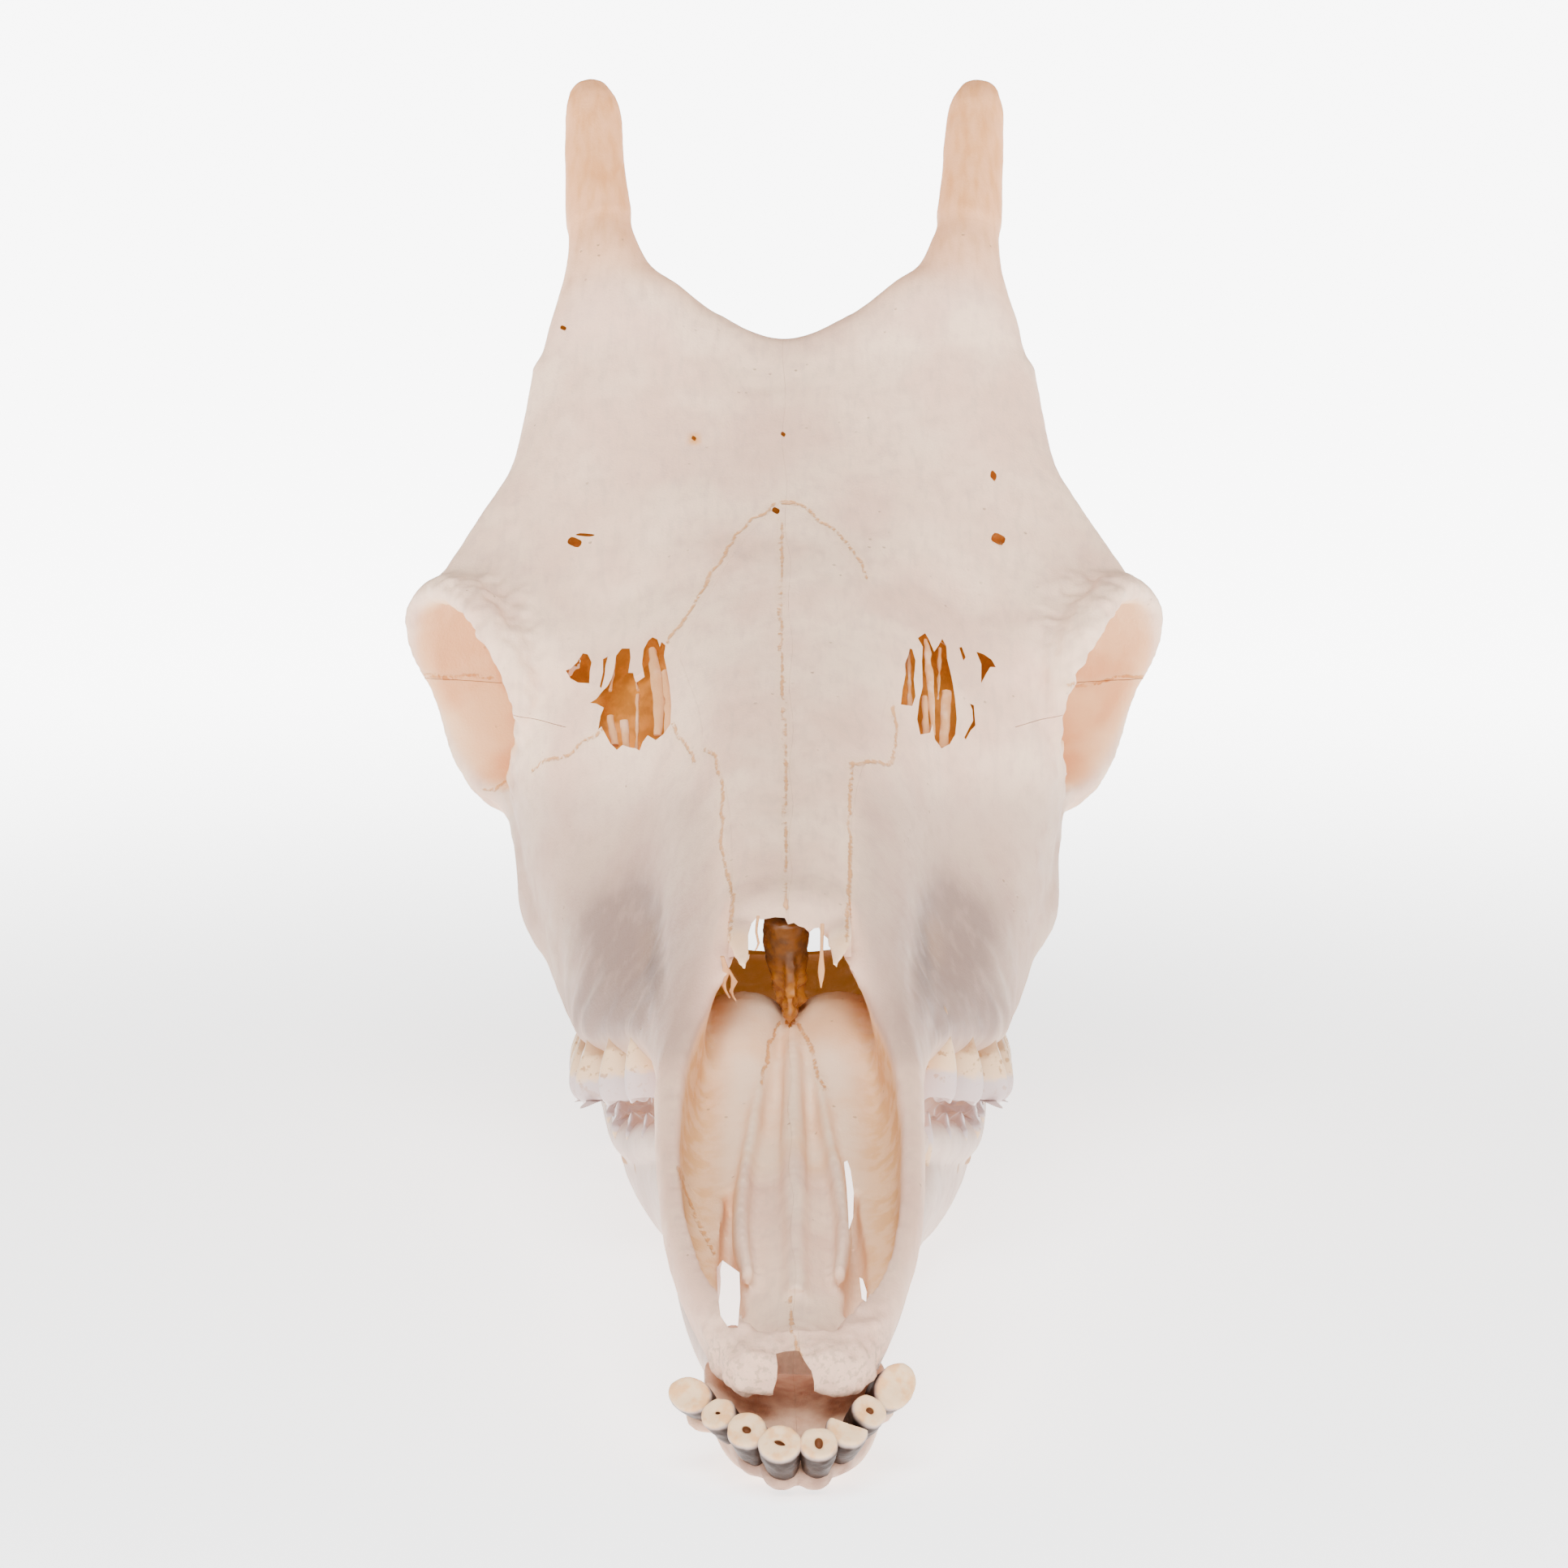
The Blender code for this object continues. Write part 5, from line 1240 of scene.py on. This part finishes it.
def skull_bone():
    """Dry bleached bone, matt and a little porous: cream with pinkish grey blotches, tan horn cores, orange
    sutures, painted shade on the cheeks, in the hollows and creases beside the muzzle and deep in the nose,
    and a painted orange glow in the lacrimal openings, the small holes and deep in the nose."""
    sizes = [(30, 4), (6, 4), (0.9, 2), (2.2, 4, (1.0, 0.16, 0.5)), (3.0, 4, (1.0, 0.35, 0.12)), (1.6, 4),
             (1.6, 3), (9, 2), (22, 2)]
    mat, tree, shader, place, patterns = new_finish("dry_skull_bone", sizes)
    blotch, mottle, pore, fibre, streak, speck, wander, gaps, patches = patterns
    depth, suture, glow, dark = (node(tree, "Attribute", output="Fac", attribute_name=name)
                                 for name in ("depth", "suture", "glow", "dark"))
    horn = stained(tree, "#eeaa78", ("#dc9458", 1, None, streak, 0.30, 0.80))
    nose_side = stained(tree, "#e8b98c", ("#dda873", 1, None, mottle, 0.4, 0.6))
    inner = stained(tree, "#f3d2b2", ("#ecbd92", 1, None, blotch, 0.4, 0.65), (nose_side, 1, "warm"))
    socket = stained(tree, "#f8cb9d", ("#eeb788", 1, None, blotch, 0.4, 0.6))
    # painted light: bright orange for the lacrimal openings and the small holes, as if light came from inside
    painted_glow_tint = stained(tree, "#dd9336", ("#bf7a26", 1, None, mottle, 0.4, 0.6))
    line = node(tree, "Math", {0: wander, 1: 1.5, 2: suture}, operation="MULTIPLY_ADD")
    edge = node(tree, "MapRange", {"Value": line, "From Min": 1.5, "From Max": 0.95},
                interpolation_type="SMOOTHSTEP")
    broken = node(tree, "MapRange", {"Value": gaps, "From Min": 0.25, "From Max": 0.45, "To Min": 0.4},
                  interpolation_type="SMOOTHSTEP")
    vein = node(tree, "Math", {0: edge, 1: broken}, operation="MULTIPLY")
    cells = node(tree, "TexVoronoi", {"Vector": place, "Scale": 1 / (5 * MM)}, "Distance", feature="F1")
    hole = node(tree, "MapRange", {"Value": cells, "From Min": 0.13, "From Max": 0.06},
                interpolation_type="SMOOTHSTEP")
    pitted = node(tree, "MapRange", {"Value": patches, "From Min": 0.55, "From Max": 0.66},
                  interpolation_type="SMOOTHSTEP")
    pit = node(tree, "Math", {0: hole, 1: pitted}, operation="MULTIPLY")
    tint = stained(
        tree, "#f6d2b4",
        ("#eabfa4", 1, None, blotch, 0.35, 0.68),
        ("#d3ab98", 0.35, None, mottle, 0.45, 0.75),
        ("#d2a894", 0.25, None, fibre, 0.5, 0.75),
        ("#dcae96", 0.5, "muzzle"),
        # painted shade on the cheeks and in the hollows beside the muzzle
        ("#977c71", 0.95, "grey"),
        # painted shade in the creases beside the muzzle
        ("#6f5a52", 0.65, "crease"),
        ("#c9a795", 0.28, None, streak, 0.48, 0.72),
        ("#a88d78", 0.55, "knob", speck, 0.48, 0.62),
        (horn, 1, "tan"),
        (inner, 1, None, depth, 1.5, 7.0),
        (socket, 1, "socket"),
        # painted glow colour in the lacrimal openings and the small holes
        (painted_glow_tint, 1, glow),
        # painted shade deep in the nose
        ("#a5611c", 0.9, dark),
        ("#e6c29c", 0.35, None, suture, 3.0, 0.0),
        ("#c98543", 0.75, vein),
        ("#a98a6e", 0.6, pit))
    height = 0.0
    for pattern, share in ((pore, 0.35), (fibre, 0.5), (vein, -0.9), (pit, -0.8)):
        height = node(tree, "Math", {0: pattern, 1: share, 2: height}, operation="MULTIPLY_ADD")
    surfaced(tree, shader, tint, (mottle, 0.3, 0.7, 0.5, 0.68), height, 0.55, 0.7)
    shader.inputs["Specular IOR Level"].default_value = 0.22
    # painted glow: the lacrimal openings, the small holes and the shaded deep nose give off a faint orange
    # light of their own
    shader.inputs["Emission Color"].default_value = colour("#cf8a30")
    through = node(tree, "Math", {0: glow, 1: dark}, operation="MAXIMUM")
    glow_strength = node(tree, "Math", {0: through, 1: 0.20}, operation="MULTIPLY")
    tree.links.new(glow_strength, shader.inputs["Emission Strength"])
    mat.cycles.emission_sampling = "NONE"
    return mat


def jaw_bone():
    """Dry bone of the lower jaw, paler, smoother and greyer, brown round the front teeth."""
    mat, tree, shader, _, (blotch, mottle, pore) = new_finish("dry_jaw_bone", [(26, 4), (5, 4), (0.8, 2)])
    chin = stained(tree, "#dcb394", ("#c99b7e", 1, None, mottle, 0.35, 0.65))
    front = stained(tree, "#a07862", ("#835f4e", 1, None, mottle, 0.35, 0.65))
    tint = stained(tree, "#dfc2b0", ("#ccad9d", 1, None, blotch, 0.35, 0.68),
                   ("#caa99b", 0.35, None, mottle, 0.45, 0.75), (chin, 1, "chin"), (front, 0.75, "front"))
    height = node(tree, "Math", {0: pore, 1: mottle}, operation="ADD")
    surfaced(tree, shader, tint, (mottle, 0.3, 0.7, 0.45, 0.6), height, 0.25, 0.6)
    return mat


def cheek_enamel():
    """Enamel of a cheek tooth, glossy: yellowed neck, lilac white crown, brown stains, and worn dentine
    at the bite."""
    mat, tree, shader, _, (blotch, stain) = new_finish("cheek_tooth_enamel", [(4, 3), (2.2, 3)])
    crown = node(tree, "Attribute", output="Fac", attribute_name="crown")
    edge = node(tree, "Math", {0: blotch, 1: 0.25, 2: crown}, operation="MULTIPLY_ADD")
    low = node(tree, "MapRange", {"Value": crown, "From Min": 0.95, "From Max": 0.3},
               interpolation_type="SMOOTHSTEP")
    tint = stained(tree, "#e6c298", ("#cbb6b2", 1, None, edge, 0.505, 0.625),
                   ("#a97c55", 0.75, None, edge, 0.245, 0.145), ("#a97748", 0.7, low, stain, 0.58, 0.68),
                   ("#80665a", 0.7, None, crown, 0.92, 1.0))
    surfaced(tree, shader, tint, (blotch, 0.3, 0.7, 0.28, 0.42), stain, 0.2, 0.5)
    return mat


def front_enamel():
    """Enamel of a front tooth: glossy grey brown sides, a cream worn end and a brown pit in it."""
    mat, tree, shader, _, (blotch, scratch) = new_finish("front_tooth_enamel", [(4, 3), (1.2, 3)])
    crown, worn, pit = (node(tree, "Attribute", output="Fac", attribute_name=name)
                        for name in ("crown", "worn", "pit"))
    side = stained(tree, "#2a1b14", ("#c4aca2", 1, None, crown, 0.91, 0.985),
                   ("#46332a", 0.4, None, blotch, 0.45, 0.7))
    face = stained(tree, "#f2cca0", ("#ecb47c", 1, None, blotch, 0.4, 0.65))
    tint = stained(tree, side, (face, 1, worn), ("#6a4128", 1, None, pit, 0.35, 0.9))
    surfaced(tree, shader, tint, (worn, 0, 1, 0.34, 0.5), scratch, 0.15, 0.5)
    shader.inputs["Specular IOR Level"].default_value = 0.08
    return mat


def dry_gristle():
    """Dried gristle and thin bone of the nose wall: clear brown, paler and tan where it is broken."""
    mat, tree, shader, _, (mottle,) = new_finish("dried_nose_gristle", [(4, 4)])
    broken = stained(tree, "#a2681c", ("#885010", 1, None, mottle, 0.4, 0.6))
    tint = stained(tree, "#643803", ("#4a2801", 1, None, mottle, 0.35, 0.65), (broken, 1, "low"))
    surfaced(tree, shader, tint, (mottle, 0.3, 0.7, 0.35, 0.6), mottle, 0.4, 0.7)
    return mat


def own(obj, mat, *nodes, slot):
    """Gives a finished piece its material and body, and hides the nodes that it stands for. The slot is not
    used.
    """
    obj.data.materials.clear()
    obj.data.materials.append(mat)
    only(obj)
    bpy.ops.object.shade_smooth_by_angle(angle=math.radians(50))
    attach(obj, "root")
    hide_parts(*nodes)


def own_bones(bones, outer, finish_skull, finish_jaw):
    """Names, dresses and hands over the bones."""
    for name, obj in bones.items():
        obj.name = f"{name}_bone"
        obj.data.name = obj.name
        if name.startswith("mandible"):
            dress_jaw(obj)
            own(obj, finish_jaw, name, slot=name)
        else:
            dress(obj, outer)
            own(obj, finish_skull, name, slot=name)


def own_side(side, where, surface, finish_skull, enamel, enamel_in_front):
    """Makes and hands over the lacrimal shards and the teeth of one side."""
    maxilla, mandible = f"maxilla_{where}", f"mandible_{where}"
    own(shards(where, surface), finish_skull, f"frontal_{where}", slot=f"frontal_{where}")
    own(tooth_row(UPPER_TEETH, side, f"upper_teeth_{where}"), enamel, maxilla, slot=maxilla)
    own(aside(tooth_row(LOWER_TEETH, side, f"lower_teeth_{where}")), enamel, mandible, slot=mandible)
    front = [front_tooth(*values, CHIPS.get((side, k)), side) for k, values in enumerate(FRONT_TEETH[side])]
    own(joined(front, f"front_teeth_{where}"), enamel_in_front, mandible, slot=mandible)


def dressed():
    """Builds every piece of the skull and the jaw."""
    skull = whole_skull()
    outer = copy_of(skull, "outer")
    skull = hollowed(skull)
    relief(skull)
    surface = copy_of(skull, "surface")
    bpy.context.view_layer.update()
    open_up(skull, surface)
    jaw = whole_jaw()
    bones = parted(skull)
    bones.update(parted_jaw(jaw))
    finish_skull, finish_jaw = skull_bone(), jaw_bone()
    enamel, enamel_in_front = cheek_enamel(), front_enamel()
    own_bones(bones, outer, finish_skull, finish_jaw)
    own(septum(), dry_gristle(), "vomer", slot="vomer")
    own(splinters(), finish_skull, "nasal_left", "nasal_right", slot="nasal_left")
    drop([outer])
    for side, where in SIDES:
        own_side(side, where, surface, finish_skull, enamel, enamel_in_front)
    drop([surface])


def area_light(name, place, size, power):
    """A large soft light that faces the skull."""
    bpy.ops.object.light_add(type="AREA", location=place)
    light = bpy.context.object
    light.name = name
    light.data.size = size
    light.data.energy = power
    light.rotation_euler = (Vector(LIGHT_AIM) - Vector(place)).to_track_quat("-Z", "Y").to_euler()


def studio_paper():
    """White seamless paper that glows, less near the skull and more away from it, so that it fades to white.
    """
    mat, tree, shader, place, _ = new_finish("white_studio_paper", [])
    away = node(tree, "VectorMath", {0: place}, "Value", operation="LENGTH")
    glow_strength = node(tree, "MapRange", {"Value": away, "From Min": 0.3, "From Max": 1.4, "To Min": 2.3,
                                      "To Max": 8.0}, interpolation_type="SMOOTHSTEP")
    tree.links.new(glow_strength, shader.inputs["Emission Strength"])
    shader.inputs["Emission Color"].default_value = colour("#ffffff")
    shader.inputs["Base Color"].default_value = colour("#ffffff")
    shader.inputs["Roughness"].default_value = 0.9
    mat.cycles.emission_sampling = "NONE"
    return mat


def studio():
    """Camera at the photograph's place, a pale floor and large soft lights."""
    bpy.ops.object.camera_add(location=EYE, rotation=(math.radians(90) - PITCH, 0, 0))
    camera = bpy.context.object
    camera.data.lens = FOCAL * SENSOR / PHOTO
    camera.data.sensor_width = SENSOR
    camera.data.clip_end = FARTHEST
    bpy.context.scene.camera = camera
    bpy.ops.mesh.primitive_plane_add(size=FLOOR_SIDE, location=(0, 0, 0))
    floor = bpy.context.object
    floor.name = "floor"
    floor.data.materials.append(studio_paper())
    world = bpy.data.worlds.new("studio")
    bpy.context.scene.world = world
    world.use_nodes = True
    sky = world.node_tree.nodes["Background"]
    sky.inputs["Color"].default_value = colour("#ffffff")
    sky.inputs["Strength"].default_value = 0.30
    area_light("key", (-0.15, -1.8, 1.9), 1.3, 90)
    area_light("fill", (1.9, -1.2, 1.3), 1.5, 12)


dressed()
studio()
